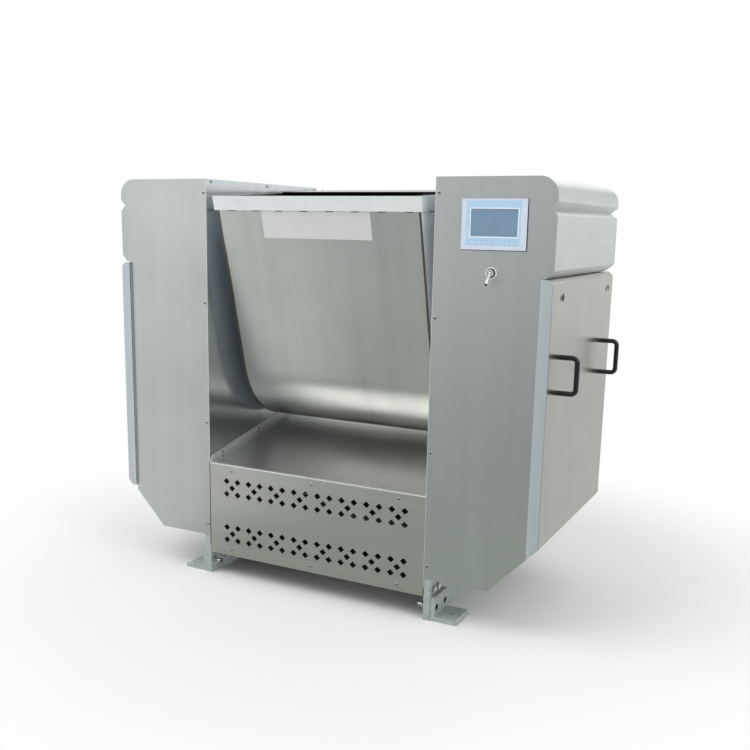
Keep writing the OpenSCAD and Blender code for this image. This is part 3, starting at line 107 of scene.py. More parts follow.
def room_mirrored(tree, way):
    """Which rays are mirrored, which see things directly, and what mirrors show that way."""
    path = add(tree, "ShaderNodeLightPath").outputs
    mirror = add(tree, "ShaderNodeMath", {0: path["Is Glossy Ray"],
                                          1: path["Is Transmission Ray"]},
                 operation="MAXIMUM").outputs[0]
    seen = add(tree, "ShaderNodeMath", {0: mirror, 1: path["Is Camera Ray"]},
               operation="MAXIMUM").outputs[0]
    facing = add(tree, "ShaderNodeVectorMath", {0: way, 1: grey_side}, operation="DOT_PRODUCT")
    grey = add(tree, "ShaderNodeMapRange", {
        "Value": facing.outputs["Value"], "From Min": grey_from, "From Max": grey_to},
        interpolation_type="SMOOTHSTEP").outputs[0]
    behind = add(tree, "ShaderNodeVectorMath", {0: way, 1: back_side}, operation="DOT_PRODUCT")
    back = add(tree, "ShaderNodeMapRange", {
        "Value": behind.outputs["Value"], "From Min": back_from, "From Max": back_to},
        interpolation_type="SMOOTHSTEP").outputs[0]
    cloth = add(tree, "ShaderNodeMix", {"Factor": back, 6: linear(tent_white),
                                        7: linear(tent_back)}, data_type="RGBA").outputs[2]
    cloth = add(tree, "ShaderNodeMix", {"Factor": grey, 6: cloth, 7: linear(tent_grey)},
                data_type="RGBA").outputs[2]
    height = add(tree, "ShaderNodeSeparateXYZ", {0: way}).outputs["Z"]
    low = add(tree, "ShaderNodeMapRange", {"Value": height, "From Min": low_from,
                                           "From Max": low_to},
              interpolation_type="SMOOTHSTEP").outputs[0]
    room = add(tree, "ShaderNodeMix", {"Factor": low, 6: cloth, 7: linear(floor_low)},
               data_type="RGBA", blend_type="MULTIPLY").outputs[2]
    return mirror, seen, room


tent = bpy.data.worlds.new("tent")
tent.use_nodes = True
tree = tent.node_tree
tree.nodes.clear()
towards = add(tree, "ShaderNodeTexCoord").outputs["Generated"]
mirror, seen, room = room_mirrored(tree, towards)
shown = add(tree, "ShaderNodeMix", {"Factor": mirror, 6: linear(tent_white), 7: room},
            data_type="RGBA").outputs[2]
falling = add(tree, "ShaderNodeBackground", {"Color": linear(tent_white),
                                             "Strength": tent_light})
showing = add(tree, "ShaderNodeBackground", {"Color": shown, "Strength": 1.0})
mixed = add(tree, "ShaderNodeMixShader", {0: seen, 1: falling.outputs[0],
                                          2: showing.outputs[0]})
add(tree, "ShaderNodeOutputWorld", {"Surface": mixed.outputs[0]})
bpy.context.scene.world = tent

# Seen from the camera the floor turns white away from the machine, and mirrors show it
# glowing like the cloth, darker in the close spot.
floor_half, floor_near, floor_far = 14.0, 1.05, 2.2
close_spot, close_near, close_far = Vector((0.1, -1.0, 0)), 0.7, 1.2
machine_middle = Vector((0, 0, 0.8))
floor_mesh = bpy.data.meshes.new("studio_floor")
bm = bmesh.new()
bmesh.ops.create_grid(bm, x_segments=1, y_segments=1, size=floor_half)
bm.to_mesh(floor_mesh)
bm.free()
studio_floor = bpy.data.objects.new("studio_floor", floor_mesh)
bpy.context.scene.collection.objects.link(studio_floor)

floor_paint = bpy.data.materials.new("matt_floor_paint")
floor_paint.use_nodes = True
tree = floor_paint.node_tree
tree.nodes.clear()
place = add(tree, "ShaderNodeTexCoord").outputs["Object"]
under = add(tree, "ShaderNodeVectorMath", {0: place, 1: machine_middle}, operation="SUBTRACT")
way = add(tree, "ShaderNodeVectorMath", {0: under.outputs[0]}, operation="NORMALIZE").outputs[0]
mirror, seen, room = room_mirrored(tree, way)
away = add(tree, "ShaderNodeVectorMath", {0: place}, operation="LENGTH").outputs["Value"]
gap = add(tree, "ShaderNodeVectorMath", {0: place, 1: close_spot}, operation="DISTANCE")
close = add(tree, "ShaderNodeMapRange", {"Value": gap.outputs["Value"], "From Min": close_far,
                                         "From Max": close_near},
            interpolation_type="SMOOTHSTEP").outputs[0]
room = add(tree, "ShaderNodeMix", {"Factor": close, 6: room, 7: linear(floor_close)},
           data_type="RGBA").outputs[2]
shown, painted = (add(tree, "ShaderNodeMix", {"Factor": mirror, 6: linear(plain), 7: room},
                      data_type="RGBA").outputs[2] for plain in (tent_white, floor_white))
fade = add(tree, "ShaderNodeMapRange", {"Value": away, "From Min": floor_near,
                                        "From Max": floor_far},
           interpolation_type="SMOOTHSTEP").outputs[0]
bright = add(tree, "ShaderNodeMath", {0: mirror, 1: floor_glow}, operation="MULTIPLY").outputs[0]
glowing = add(tree, "ShaderNodeMath", {0: fade, 1: bright}, operation="MAXIMUM").outputs[0]
white = add(tree, "ShaderNodeMath", {0: glowing, 1: seen}, operation="MULTIPLY")
paint = add(tree, "ShaderNodeBsdfDiffuse", {"Color": painted})
glow = add(tree, "ShaderNodeEmission", {"Color": shown, "Strength": 1.0})
mixed = add(tree, "ShaderNodeMixShader", {0: white.outputs[0], 1: paint.outputs[0],
                                          2: glow.outputs[0]})
add(tree, "ShaderNodeOutputMaterial", {"Surface": mixed.outputs[0]})
floor_mesh.materials.append(floor_paint)

# Each soft box: where it hangs, the length of its side in metres, and its watts.
soft_boxes = {
    "key_box": ((-2.3, -2.7, 4.9), 4.0, 104),
    "fill_box": ((3.9, -1.8, 3.6), 3.0, 45),
    "back_box": ((0.4, 4.2, 4.2), 3.0, 26),
}
for name, (spot, size, watts) in soft_boxes.items():
    lamp = bpy.data.lights.new(name, "AREA")
    lamp.shape = "SQUARE"
    lamp.size = size
    lamp.energy = watts
    box = bpy.data.objects.new(name, lamp)
    box.location = spot
    box.rotation_mode = "QUATERNION"
    box.rotation_quaternion = (machine_middle - Vector(spot)).to_track_quat("-Z", "Y")
    bpy.context.scene.collection.objects.link(box)

# Frame: two thick flame-cut plates on the floor, tied by square tubes and rails, with
# angle brackets bolted to them for the floor anchors. Plates and brackets are hot-dip
# galvanised, which leaves a pale grey spangle. The tubes, rails and tilt bracket are
# near-black, a painted shade that keeps the inside of the base dark.
sharp_angle, flat_angle = math.radians(32), math.radians(0.4)
weld_gap = 2e-5
fold_length, fold_area = 0.05, 0.004
round_sides, head_area = 12, 1.3e-4


def finish_material(name):
    """A new material with an empty tree, and its tree."""
    material = bpy.data.materials.new(name)
    material.use_nodes = True
    material.node_tree.nodes.clear()
    return material, material.node_tree


def coated(name, tone, shade, roughness, grain_mm, metallic=0.0, relief=0.2, cells=False,
           coat=0.0, stain_mm=110):
    """Cast, sprayed, galvanised or moulded surface: tone to shade in grains of a size."""
    material, tree = finish_material(name)
    place = add(tree, "ShaderNodeTexCoord").outputs["Object"]
    if cells:
        grain = add(tree, "ShaderNodeTexVoronoi", {"Vector": place, "Scale": 1000 / grain_mm})
        pattern = add(tree, "ShaderNodeSeparateColor", {0: grain.outputs["Color"]}).outputs[0]
    else:
        pattern = add(tree, "ShaderNodeTexNoise", {
            "Vector": place, "Scale": 1000 / grain_mm, "Detail": 4.0,
            "Roughness": 0.6}).outputs["Fac"]
    stains = add(tree, "ShaderNodeTexNoise", {"Vector": place, "Scale": 1000 / stain_mm,
                                              "Detail": 5.0, "Roughness": 0.65}).outputs["Fac"]
    spread = add(tree, "ShaderNodeMapRange", {"Value": stains, "From Min": 0.3,
                                              "From Max": 0.7}).outputs[0]
    depth = add(tree, "ShaderNodeMath", {0: pattern, 1: spread}, operation="MULTIPLY").outputs[0]
    colour = add(tree, "ShaderNodeMix", {"Factor": depth, 6: linear(tone), 7: linear(shade)},
                 data_type="RGBA").outputs[2]
    rough = add(tree, "ShaderNodeMapRange", {"Value": pattern, "To Min": roughness * 0.85,
                                             "To Max": roughness * 1.2}).outputs[0]
    bump = add(tree, "ShaderNodeBump", {"Height": pattern, "Strength": relief,
                                        "Distance": grain_mm / 8000}).outputs[0]
    skin = add(tree, "ShaderNodeBsdfPrincipled", {
        "Base Color": colour, "Metallic": metallic, "Roughness": rough, "Normal": bump,
        "Coat Weight": coat, "Coat Roughness": 0.12})
    add(tree, "ShaderNodeOutputMaterial", {"Surface": skin.outputs[0]})
    return material


def body_of_node(node):
    """The name of the body that holds a CAD node."""
    return next(b for b, nodes in frame["record"]["behaviour"]["bodies"].items() if node in nodes)


def slot_of_node(node):
    """The record's material slot of a CAD node."""
    return next(s["material_slot"] for s in frame["record"]["subparts"] if s["node"] == node)


def piece(name, bm, materials, body):
    """An object from a bmesh, smooth where its faces meet gently, that rides on a body."""
    for face in bm.faces:
        face.smooth = True
    for edge in bm.edges:
        edge.smooth = edge.is_manifold and edge.calc_face_angle(0.0) < sharp_angle
    mesh = bpy.data.meshes.new(name)
    bm.to_mesh(mesh)
    bm.free()
    for material in materials:
        mesh.materials.append(material)
    made = bpy.data.objects.new(name, mesh)
    bpy.context.scene.collection.objects.link(made)
    even = made.modifiers.new("even_normals", "WEIGHTED_NORMAL")
    even.keep_sharp = True
    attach(made, body)
    return made


def eased(node, material, ease_mm, segments=2, fold_mm=0, other=None, where=None,
          socket_mm=None):
    """A merged copy of a CAD node in its place, with its edges broken by ease_mm. Folds of
    sheet metal are rounded by fold_mm, and faces where a test holds get another finish. A
    socket is sunk in each round screw head, so far from its edge and so deep, and gets the
    other finish as painted shade."""
    bm = bmesh.new()
    bm.from_mesh(frame["nodes"][node].data)
    bmesh.ops.remove_doubles(bm, verts=bm.verts, dist=weld_gap)
    bmesh.ops.dissolve_limit(bm, angle_limit=flat_angle, verts=bm.verts, edges=bm.edges,
                             use_dissolve_boundaries=False)
    if fold_mm:
        folds = [e for e in bm.edges if e.is_manifold and e.is_convex
                 and e.calc_face_angle(0.0) > sharp_angle and e.calc_length() > fold_length
                 and min(f.calc_area() for f in e.link_faces) > fold_area]
        bmesh.ops.bevel(bm, geom=folds, offset=fold_mm / 1000, offset_type="OFFSET",
                        affect="EDGES", segments=4, profile=0.5, material=-1,
                        clamp_overlap=False)
    if ease_mm:
        sharp = [e for e in bm.edges if e.is_manifold and e.calc_face_angle(0.0) > sharp_angle]
        bmesh.ops.bevel(bm, geom=sharp, offset=ease_mm / 1000, offset_type="OFFSET",
                        affect="EDGES", segments=segments, profile=0.5, material=-1,
                        clamp_overlap=True)
    if where:
        for face in bm.faces:
            face.material_index = int(where(face.calc_center_median()))
    if socket_mm:
        heads = [f for f in bm.faces if len(f.verts) >= round_sides
                 and f.calc_area() < head_area]
        rim, deep = (size / 1000 for size in socket_mm)
        bmesh.ops.inset_individual(bm, faces=heads, thickness=rim, use_even_offset=True)
        sides = bmesh.ops.inset_individual(bm, faces=heads, thickness=rim / 50, depth=-deep,
                                           use_even_offset=True)["faces"]
        for face in heads + sides:
            face.material_index = 1
    made = piece(node + "_finished", bm, [material, other] if other else [material],
                 body_of_node(node))
    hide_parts(node)


galvanised = coated("hot_dip_galvanised_steel", "bcc6c4", "a0acaa", 0.5, 12, metallic=0.4,
                    relief=0.05, cells=True)
# Painted shade: near-black, so that the base's inside reads as shadow through its perforations.
frame_shade_black = coated("near_black_painted_shade_frame", "0b0b0c", "070708", 0.8, 2.5, metallic=0.8,
                    relief=0.25)
for node in ("frame_plate_left", "frame_plate_right", "anchor_brackets"):
    eased(node, galvanised, 0.6)
for node in ("cross_beams", "support_rails", "tilt_bracket"):
    eased(node, frame_shade_black, 1.0)


# Shade strip: black rubber under the rear beam, a painted shade that hides the lit floor
# behind the machine, so the base stays dark through its perforations.
def strip(sides, ease_mm, segments=2, eases=lambda edge: True):
    """A bmesh box between a low and a high side along X, Y and Z. Those of its edges for
    which a test holds are rounded by ease_mm."""
    bm = bmesh.new()
    bmesh.ops.create_cube(bm, size=1.0)
    bmesh.ops.scale(bm, vec=[high - low for low, high in sides], verts=bm.verts)
    bmesh.ops.bevel(bm, geom=[e for e in bm.edges if eases(e)], offset=ease_mm / 1000,
                    offset_type="OFFSET", affect="EDGES", segments=segments, profile=0.5,
                    material=-1)
    bmesh.ops.translate(bm, vec=[(low + high) / 2 for low, high in sides], verts=bm.verts)
    return bm


strip_x, strip_y, strip_z = (-0.445, 0.445), (0.298, 0.318), (0.070, 0.0922)
# Painted shade: black rubber for the strips and sheets that stand in for shadow.
shade_rubber = coated("black_rubber_painted_shade", "1e1b19", "161413", 0.55, 1.0, relief=0.1)
piece("rear_painted_shade_strip", strip((strip_x, strip_y, strip_z), 1.5), [shade_rubber],
      body_of_node("cross_beams"))

# Shade sheets: black rubber on the frame plates inside the base, a painted shade that
# keeps the plates dark where they show through the perforations.
sheet_reach, sheet_y, sheet_z = (0.4532, 0.4542), (-0.388, 0.388), (0.112, 0.438)
for side, way in (("left", -1), ("right", 1)):
    sheet_x = sorted(way * reach for reach in sheet_reach)
    piece("painted_shade_sheet_" + side, strip((sheet_x, sheet_y, sheet_z), 0.3, segments=1),
          [shade_rubber], body_of_node("frame_plate_" + side))

# Bolts and screws: zinc-plated steel, cold-headed, bright and bluish, with a black socket that
# is painted shade. Those of the anchor brackets are black oxide screws in zinc-plated nuts.
bracket_top, nut_from, nut_to = 0.1, 0.4415, 0.4545
socket_rim_and_depth = (1.6, 1.8)
zinc_plate = coated("bright_zinc_plate", "d0d6d8", "a5adae", 0.14, 1.5, metallic=1.0, relief=0.05)
oxide_and_socket_shade = coated("black_oxide_steel_and_painted_socket_shade", "262829", "1b1c1d", 0.38, 1.2, metallic=0.6,
                     relief=0.15)
eased("frame_bolts", zinc_plate, 0.5, other=oxide_and_socket_shade,
      where=lambda c: c.z < bracket_top and not nut_from < abs(c.x) < nut_to)
eased("panel_screws", zinc_plate, 1.0, segments=3, other=oxide_and_socket_shade,
      socket_mm=socket_rim_and_depth)
eased("bowl_bolts", zinc_plate, 0.5, other=oxide_and_socket_shade,
      socket_mm=socket_rim_and_depth)


# Front panels: 2 mm stainless sheets brushed from top to bottom on a belt, which leaves
# long fine lines. They close the cabinets' fronts and are screwed to the frame plates.
def brushed(name, tone, shade, along, roughness, line_mm=2.0, run_mm=500, cloud_mm=300,
            relief=0.15, smear=0.12, metallic=1.0, weld=None):
    """Brushed stainless sheet whose lines run along the given axes. The real lines are
    0.2 mm apart and are drawn wider, so that they show. A weld at both ends darkens it from
    one distance from the middle to another, towards a colour."""
    material, tree = finish_material(name)
    place = add(tree, "ShaderNodeTexCoord").outputs["Object"]
    fine = [1000 / (run_mm if axis in along else line_mm) for axis in "XYZ"]
    broad = [1000 / (run_mm * 3 if axis in along else line_mm * 22) for axis in "XYZ"]
    lines = add(tree, "ShaderNodeMapping", {"Vector": place, "Scale": fine})
    bands = add(tree, "ShaderNodeMapping", {"Vector": place, "Scale": broad})
    line = add(tree, "ShaderNodeTexNoise", {"Vector": lines.outputs[0], "Scale": 1.0,
                                            "Detail": 3.0, "Roughness": 0.7}).outputs["Fac"]
    band = add(tree, "ShaderNodeTexNoise", {"Vector": bands.outputs[0], "Scale": 1.0,
                                            "Detail": 3.0}).outputs["Fac"]
    cloud = add(tree, "ShaderNodeTexNoise", {"Vector": place, "Scale": 1000 / cloud_mm,
                                             "Detail": 4.0, "Roughness": 0.55}).outputs["Fac"]
    lined = add(tree, "ShaderNodeMath", {0: line, 1: 0.4, 2: band},
                operation="MULTIPLY_ADD").outputs[0]
    worn = add(tree, "ShaderNodeMath", {0: lined, 1: cloud}, operation="ADD").outputs[0]
    depth = add(tree, "ShaderNodeMapRange", {"Value": worn, "From Min": 0.8,
                                             "From Max": 1.6}).outputs[0]
    colour = add(tree, "ShaderNodeMix", {"Factor": depth, 6: linear(tone), 7: linear(shade)},
                 data_type="RGBA").outputs[2]
    if weld:
        spot = add(tree, "ShaderNodeSeparateXYZ", {0: place}).outputs["X"]
        reach = add(tree, "ShaderNodeMath", {0: spot}, operation="ABSOLUTE").outputs[0]
        uneven = add(tree, "ShaderNodeMath", {0: cloud, 1: 0.012, 2: reach},
                     operation="MULTIPLY_ADD").outputs[0]
        heat = add(tree, "ShaderNodeMapRange", {"Value": uneven, "From Min": weld[0],
                                                "From Max": weld[1]}).outputs[0]
        colour = add(tree, "ShaderNodeMix", {"Factor": heat, 6: colour, 7: linear(weld[2])},
                     data_type="RGBA").outputs[2]
    wiped = add(tree, "ShaderNodeMapRange", {
        "Value": cloud, "From Min": 0.3, "From Max": 0.7, "To Min": roughness * (1 - smear),
        "To Max": roughness * (1 + smear)}).outputs[0]
    rough = add(tree, "ShaderNodeMath", {0: line, 1: 0.06, 2: wiped},
                operation="MULTIPLY_ADD").outputs[0]
    bump = add(tree, "ShaderNodeBump", {"Height": line, "Strength": relief,
                                        "Distance": 0.0001}).outputs[0]
    skin = add(tree, "ShaderNodeBsdfPrincipled", {
        "Base Color": colour, "Metallic": metallic, "Roughness": rough, "Normal": bump,
        "Anisotropic": 0.4})
    add(tree, "ShaderNodeOutputMaterial", {"Surface": skin.outputs[0]})
    return material


upright_brush = brushed("belt_brushed_stainless_upright", "d6dcdb", "cad0cf", "Z", 0.30)
for node in ("front_panel_left", "front_panel_right"):
    eased(node, upright_brush, 0.5)

# Panel edges: each front panel's inner edge is turned back in a tight fold, drawn as a
# near-white strip that is a painted highlight. Beside the base, a black strip in the gap,
# wider on the left, is painted shade.
# Painted highlight: a near-white copy of the brushed steel for folded edges that catch the light.
fold_highlight = brushed("fold_painted_highlight", "eceeed", "e0e3e1", "X", 0.4, relief=0.05,
                      metallic=0.75)
# Painted shade: black strips filling the gaps beside the base panel.
gap_shade_black = coated("black_painted_gap_shade", "1c1c1b", "151514", 0.6, 1.0, relief=0.1)
panel_slot, edge_y, long_edge = slot_of_node("front_panel_left"), (-0.4008, -0.3992), 0.1
for name, material, slot, edge_x, edge_z in (
        ("panel_fold_highlight_left", fold_highlight, panel_slot, (-0.4545, -0.4516), (0.452, 1.497)),
        ("panel_fold_highlight_right", fold_highlight, panel_slot, (0.4516, 0.4540), (0.120, 1.497)),
        ("base_gap_shade_left", gap_shade_black, "seal", (-0.4540, -0.4516), (0.118, 0.450)),
        ("base_gap_shade_right", gap_shade_black, "seal", (0.4512, 0.4517), (0.118, 0.450))):
    bm = strip((edge_x, edge_y, edge_z), 0.2, eases=lambda e: e.calc_length() > long_edge)
    piece(name, bm, [material], body_of_node("front_panel_left"))

# Casing caps: folded from fine-brushed stainless, rounded along the top and drawn in to
# a V groove that runs along the side and round the back, welded and dressed at the mitre.
cap_brush = brushed("fine_brushed_stainless_caps", "d4d8d7", "c9cdcc", "Y", 0.34, line_mm=1.6,
                    run_mm=400, relief=0.1)
for node in ("cabinet_cap_left", "cabinet_cap_right"):
    eased(node, cap_brush, 0.3, fold_mm=1.5)

# Cabinet shells and rear covers: folded stainless boxes behind the doors and pans over
# the openings in their backs, brushed upright like the fronts but less finely.
shell_brush = brushed("brushed_stainless_shells", "c3c6c3", "b5b8b5", "Z", 0.34)
for node in ("cabinet_shell_left", "cabinet_shell_right", "rear_covers"):
    eased(node, shell_brush, 0.3, fold_mm=3)

# Service doors: pans that hang over the openings in the outer walls, brushed upright,
# with a folded lip in front that is coloured lighter and bluish as a painted reflection, two
# chromed turn latches whose black cores are painted shade of their sockets, and two U
# handles of glossy black nylon each.
door_brush = brushed("brushed_stainless_doors", "b9b8b2", "b3b2ac", "Z", 0.20)
lip_sheen = brushed("folded_lips_painted_reflection", "cfd8dc", "c4ced3", "Z", 0.36, metallic=0.6)
lip_front = -0.4075
return_reach, return_y, return_z = (0.8133, 0.8153), (-0.4078, -0.3970), (0.306, 1.193)
for door in ("service_door_left", "service_door_right"):
    eased(door, door_brush, 0.3, fold_mm=3, other=lip_sheen, where=lambda c: c.y < lip_front)
# The lip returns fill the dark gap beside each lip with the lip's painted reflection.
for side, way in (("left", -1), ("right", 1)):
    door, return_x = "service_door_" + side, sorted(way * reach for reach in return_reach)
    piece("lip_return_painted_light_" + side, strip((return_x, return_y, return_z), 0.4), [lip_sheen],
          body_of_node(door))
latch_chrome = coated("polished_chrome", "dde0e2", "c4c9cb", 0.1, 1.2, metallic=1.0,
                      relief=0.02)
# Painted shade: black latch cores standing in for the shaded sockets.
latch_socket_shade = coated("latch_cores_painted_shade", "1c1d1e", "141515", 0.4, 0.9, relief=0.1)
handle_nylon = coated("glossy_black_nylon", "0c0c0d", "151516", 0.2, 0.8, relief=0.04,
                      coat=0.4)
latch_high, latch_pair, core_radius = 1.136, (-0.296, 0.310), 0.0082
for side in ("left", "right"):
    eased("door_latches_" + side, latch_chrome, 0.8, other=latch_socket_shade,
          where=lambda c: min(math.hypot(c.y - y, c.z - latch_high)
                              for y in latch_pair) < core_radius)
    eased("door_handles_" + side, handle_nylon, 0)

# Inner walls: polished stainless sheets on the frame plates, facing the bowl. They are
# nearly mirrors, so they show the bowl and the base cover softly.
wall_polish = brushed("polished_stainless_walls", "d6dde1", "c9d0d5", "Z", 0.17, relief=0.05,
                      line_mm=1.5, metallic=0.95)
for node in ("inner_wall_left", "inner_wall_right"):
    eased(node, wall_polish, 0)

# Base: a perforated front sheet, a slotted rear sheet and a sloped cover whose edges are
# folded up at the sides. All are stainless, brushed across the machine.
across_brush = brushed("belt_brushed_stainless_across", "d5d8d1", "c6c9c2", "X", 0.30)
cover_brush = brushed("brushed_stainless_cover", "cacac6", "bfbfbb", "Y", 0.23, relief=0.05,
                      smear=0.04, metallic=0.84)
flange_from = 0.449
for node in ("base_front_panel", "base_rear_panel"):
    eased(node, across_brush, 0.3)
# The cover's side flanges get the near-white fold finish, a painted highlight.
eased("base_cover", cover_brush, 0, other=fold_highlight, where=lambda c: abs(c.x) > flange_from)

# Base front fold: the sheet turns over at the top of the front panel in a tight radius,
# which catches the light as a line across the machine; its near-white colour is a painted
# highlight on that line.
fold_x, fold_y, fold_z = (-0.4515, 0.4515), (-0.4006, -0.3942), (0.4434, 0.4498)
bm = strip((fold_x, fold_y, fold_z), 4.5, segments=6,
           eases=lambda e: all(v.co.y < 0 and v.co.z > 0 for v in e.verts))
piece("base_front_fold", bm, [fold_highlight], body_of_node("base_cover"))

# Bowl: a rolled trough of 5 mm stainless with welded end plates, which leave a brown heat
# line at its ends. A pale band of mill-finish bar runs round its mouth.
heat_from, heat_to, heat_brown = 0.3988, 0.4010, "6d685d"
bowl_satin = brushed("satin_stainless_bowl", "dee1dc", "caceca", "YZ", 0.29, line_mm=3.5,
                     run_mm=900, relief=0.1, weld=(heat_from, heat_to, heat_brown))
# Painted light: the end plates' outer faces are near-white and matt, so the shaded gap beside the
# bowl reads bright.
end_plate_light = coated("end_plates_painted_light", "f0f6f8", "d4dddf", 0.42, 18, metallic=0.0,
                  relief=0.03)
rim_mill = coated("mill_finish_rim_bar", "ebf0f1", "d5dcde", 0.36, 26, metallic=0.2,
                  relief=0.04, stain_mm=160)
plate_face = 0.4028
eased("bowl_shell", bowl_satin, 0.4)
eased("bowl_end_plates", bowl_satin, 0.6, other=end_plate_light, where=lambda c: abs(c.x) > plate_face)
eased("rim_band", rim_mill, 1.0)

# Stitch welds: short beads under the rim bar that hold it to the trough all round. They
# are laid by hand as overlapping puddles; their dark grey is painted shade for the shadowed
# gap under the rim bar.
joints = {j["name"]: j for j in frame["record"]["behaviour"]["joints"]}
tilt = joints["bowl_tilt"]
lean = -math.radians(tilt["range_deg"][0])
bowl_pose = Matrix.Translation(tilt["pos_m"]) @ Matrix.Rotation(lean, 4, "X")
bead_level, bead_reach, bead_ends = 0.5385, 0.4225, 0.4045
beads, bead_start, bead_pitch, side_half = 8, -0.352, 0.1, 0.36
puddles, puddle_pitch, puddle_radius = 7, 0.0042, 0.0022
bead_shade = coated("weld_beads_painted_shade", "7a7972", "56564f", 0.45, 2.0, metallic=0.7,
                    relief=0.3)
bm = bmesh.new()
for way in (-1, 1):
    for bead in range(beads):
        for puddle in range(puddles):
            along = bead_start + bead * bead_pitch + puddle * puddle_pitch
            places = [(along, way * bead_reach, bead_level)]
            if abs(along) < side_half:
                places.append((way * bead_ends, along, bead_level))
            for place in places:
                bmesh.ops.create_uvsphere(bm, u_segments=8, v_segments=6, radius=puddle_radius,
                                          matrix=Matrix.Translation(place))
bmesh.ops.transform(bm, matrix=bowl_pose, verts=bm.verts)
piece("rim_stitch_welds", bm, [bead_shade], body_of_node("rim_band"))

# Half lid: a folded stainless sheet over the rear of the mouth, bolted to the rim bar. A
# black strip along its front edge is painted shade, the dark line under that edge.
lid_satin = brushed("satin_stainless_lid", "d0d4d4", "c0c4c4", "X", 0.3)
eased("rear_lid", lid_satin, 0.4, fold_mm=2)
lid_shade_x, lid_shade_y, lid_shade_z = (-0.4005, 0.4005), (0.017, 0.026), (0.5889, 0.5941)
bm = strip((lid_shade_x, lid_shade_y, lid_shade_z), 1.5, segments=3,
           eases=lambda e: e.calc_length() > long_edge)
bmesh.ops.transform(bm, matrix=bowl_pose, verts=bm.verts)
piece("lid_edge_painted_shade", bm, [shade_rubber], body_of_node("rear_lid"))

# Blank plate: 1 mm aluminium, punched with round corners and anodised to a pale satin, and
# fixed flat on the bowl's front under the rim bar.
plate_anodised = coated("anodised_aluminium_plate", "e0e2df", "d4d7d4", 0.38, 0.6, metallic=0.3,
                        relief=0.05)
corner_radius, corner_edge = 0.004, 0.004
bm = bmesh.new()
bm.from_mesh(frame["nodes"]["blank_plate"].data)
bmesh.ops.remove_doubles(bm, verts=bm.verts, dist=weld_gap)
bmesh.ops.dissolve_limit(bm, angle_limit=flat_angle, verts=bm.verts, edges=bm.edges)
bmesh.ops.bevel(bm, geom=[e for e in bm.edges if e.calc_length() < corner_edge],
                offset=corner_radius, offset_type="OFFSET", affect="EDGES", segments=5,
                profile=0.5, material=-1, clamp_overlap=False)
made = piece("blank_plate_finished", bm, [plate_anodised], body_of_node("blank_plate"))
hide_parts("blank_plate")


# Journals, shaft and agitator: steel turned or ground on a lathe, so its fine rings lie
# across the machine's axis. Bearing sleeves are bronze and seals are nitrile rubber.
def turned(name, tone, shade, roughness, ring_mm=1.2):
    """Steel turned about a line along X: rings of a width, one beside the other."""
    material, tree = finish_material(name)
    place = add(tree, "ShaderNodeTexCoord").outputs["Object"]
    rings = add(tree, "ShaderNodeMapping", {"Vector": place,
                                            "Scale": (1000 / ring_mm, 2.0, 2.0)})
    ring = add(tree, "ShaderNodeTexNoise", {"Vector": rings.outputs[0], "Scale": 1.0,
                                            "Detail": 2.0}).outputs["Fac"]
    colour = add(tree, "ShaderNodeMix", {"Factor": ring, 6: linear(tone), 7: linear(shade)},
                 data_type="RGBA").outputs[2]
    rough = add(tree, "ShaderNodeMath", {0: ring, 1: 0.15, 2: roughness},
                operation="MULTIPLY_ADD").outputs[0]
    bump = add(tree, "ShaderNodeBump", {"Height": ring, "Strength": 0.15,
                                        "Distance": 0.0001}).outputs[0]
    skin = add(tree, "ShaderNodeBsdfPrincipled", {
        "Base Color": colour, "Metallic": 1.0, "Roughness": rough, "Normal": bump})
    add(tree, "ShaderNodeOutputMaterial", {"Surface": skin.outputs[0]})
    return material


turned_steel = turned("turned_steel", "c3c7c9", "a3a7a9", 0.24)
turned_bronze = turned("turned_bronze", "b98f4e", "8e6a35", 0.28)
nitrile = coated("nitrile_rubber", "262626", "1c1c1c", 0.6, 1.0, relief=0.1)
arm_satin = brushed("satin_stainless_arms", "c6cac8", "b0b4b2", "X", 0.3)
for node in ("trunnions", "agitator_shaft", "agitator_bars"):
    eased(node, turned_steel, 0.8)
eased("agitator_arms", arm_satin, 3.0)
eased("shaft_bearings", turned_bronze, 0.4)
eased("shaft_seals", nitrile, 0.6)

# Bearing housings, pulleys and gears: grey iron castings, machined on their faces, and
# hobbed steel gears with a film of oil.
grey_iron = coated("grey_iron_casting", "565b5d", "3f4446", 0.55, 1.6, metallic=0.7, relief=0.5)
gear_steel = turned("oiled_gear_steel", "8d9193", "6b6f71", 0.2)
for node in ("bearing_housings", "motor_pulley", "gearbox_pulley"):
    eased(node, grey_iron, 1.0)
for node in ("bowl_gear", "tilt_pinion"):
    eased(node, gear_steel, 0.3)

# Drives: the motor in the base, the gearbox on the shaft's end and the tilt gearmotor,
# in dark grey machine enamel over cast iron, with rubber V belts between the pulleys.
machine_enamel = coated("dark_grey_machine_enamel", "2a3136", "20262a", 0.35, 3.0, relief=0.3,
                        coat=0.5)
belt_rubber = coated("belt_rubber", "1d1d1d", "131313", 0.65, 1.2, relief=0.2)
for node in ("main_motor", "main_gearbox", "tilt_gearmotor"):
    eased(node, machine_enamel, 1.5)
eased("drive_belts", belt_rubber, 0.6)

# Control gear: a zinc-plated mounting plate with an inverter and a row of contactors in
# grey moulded plastic, inside the right cabinet.
control_plastic = coated("grey_moulded_polycarbonate", "4a4f52", "3f4447", 0.5, 0.7,
                         relief=0.15)
mounting_plate_face = 0.5011
eased("control_gear", control_plastic, 1.5, other=zinc_plate,
      where=lambda c: c.x < mounting_plate_face)
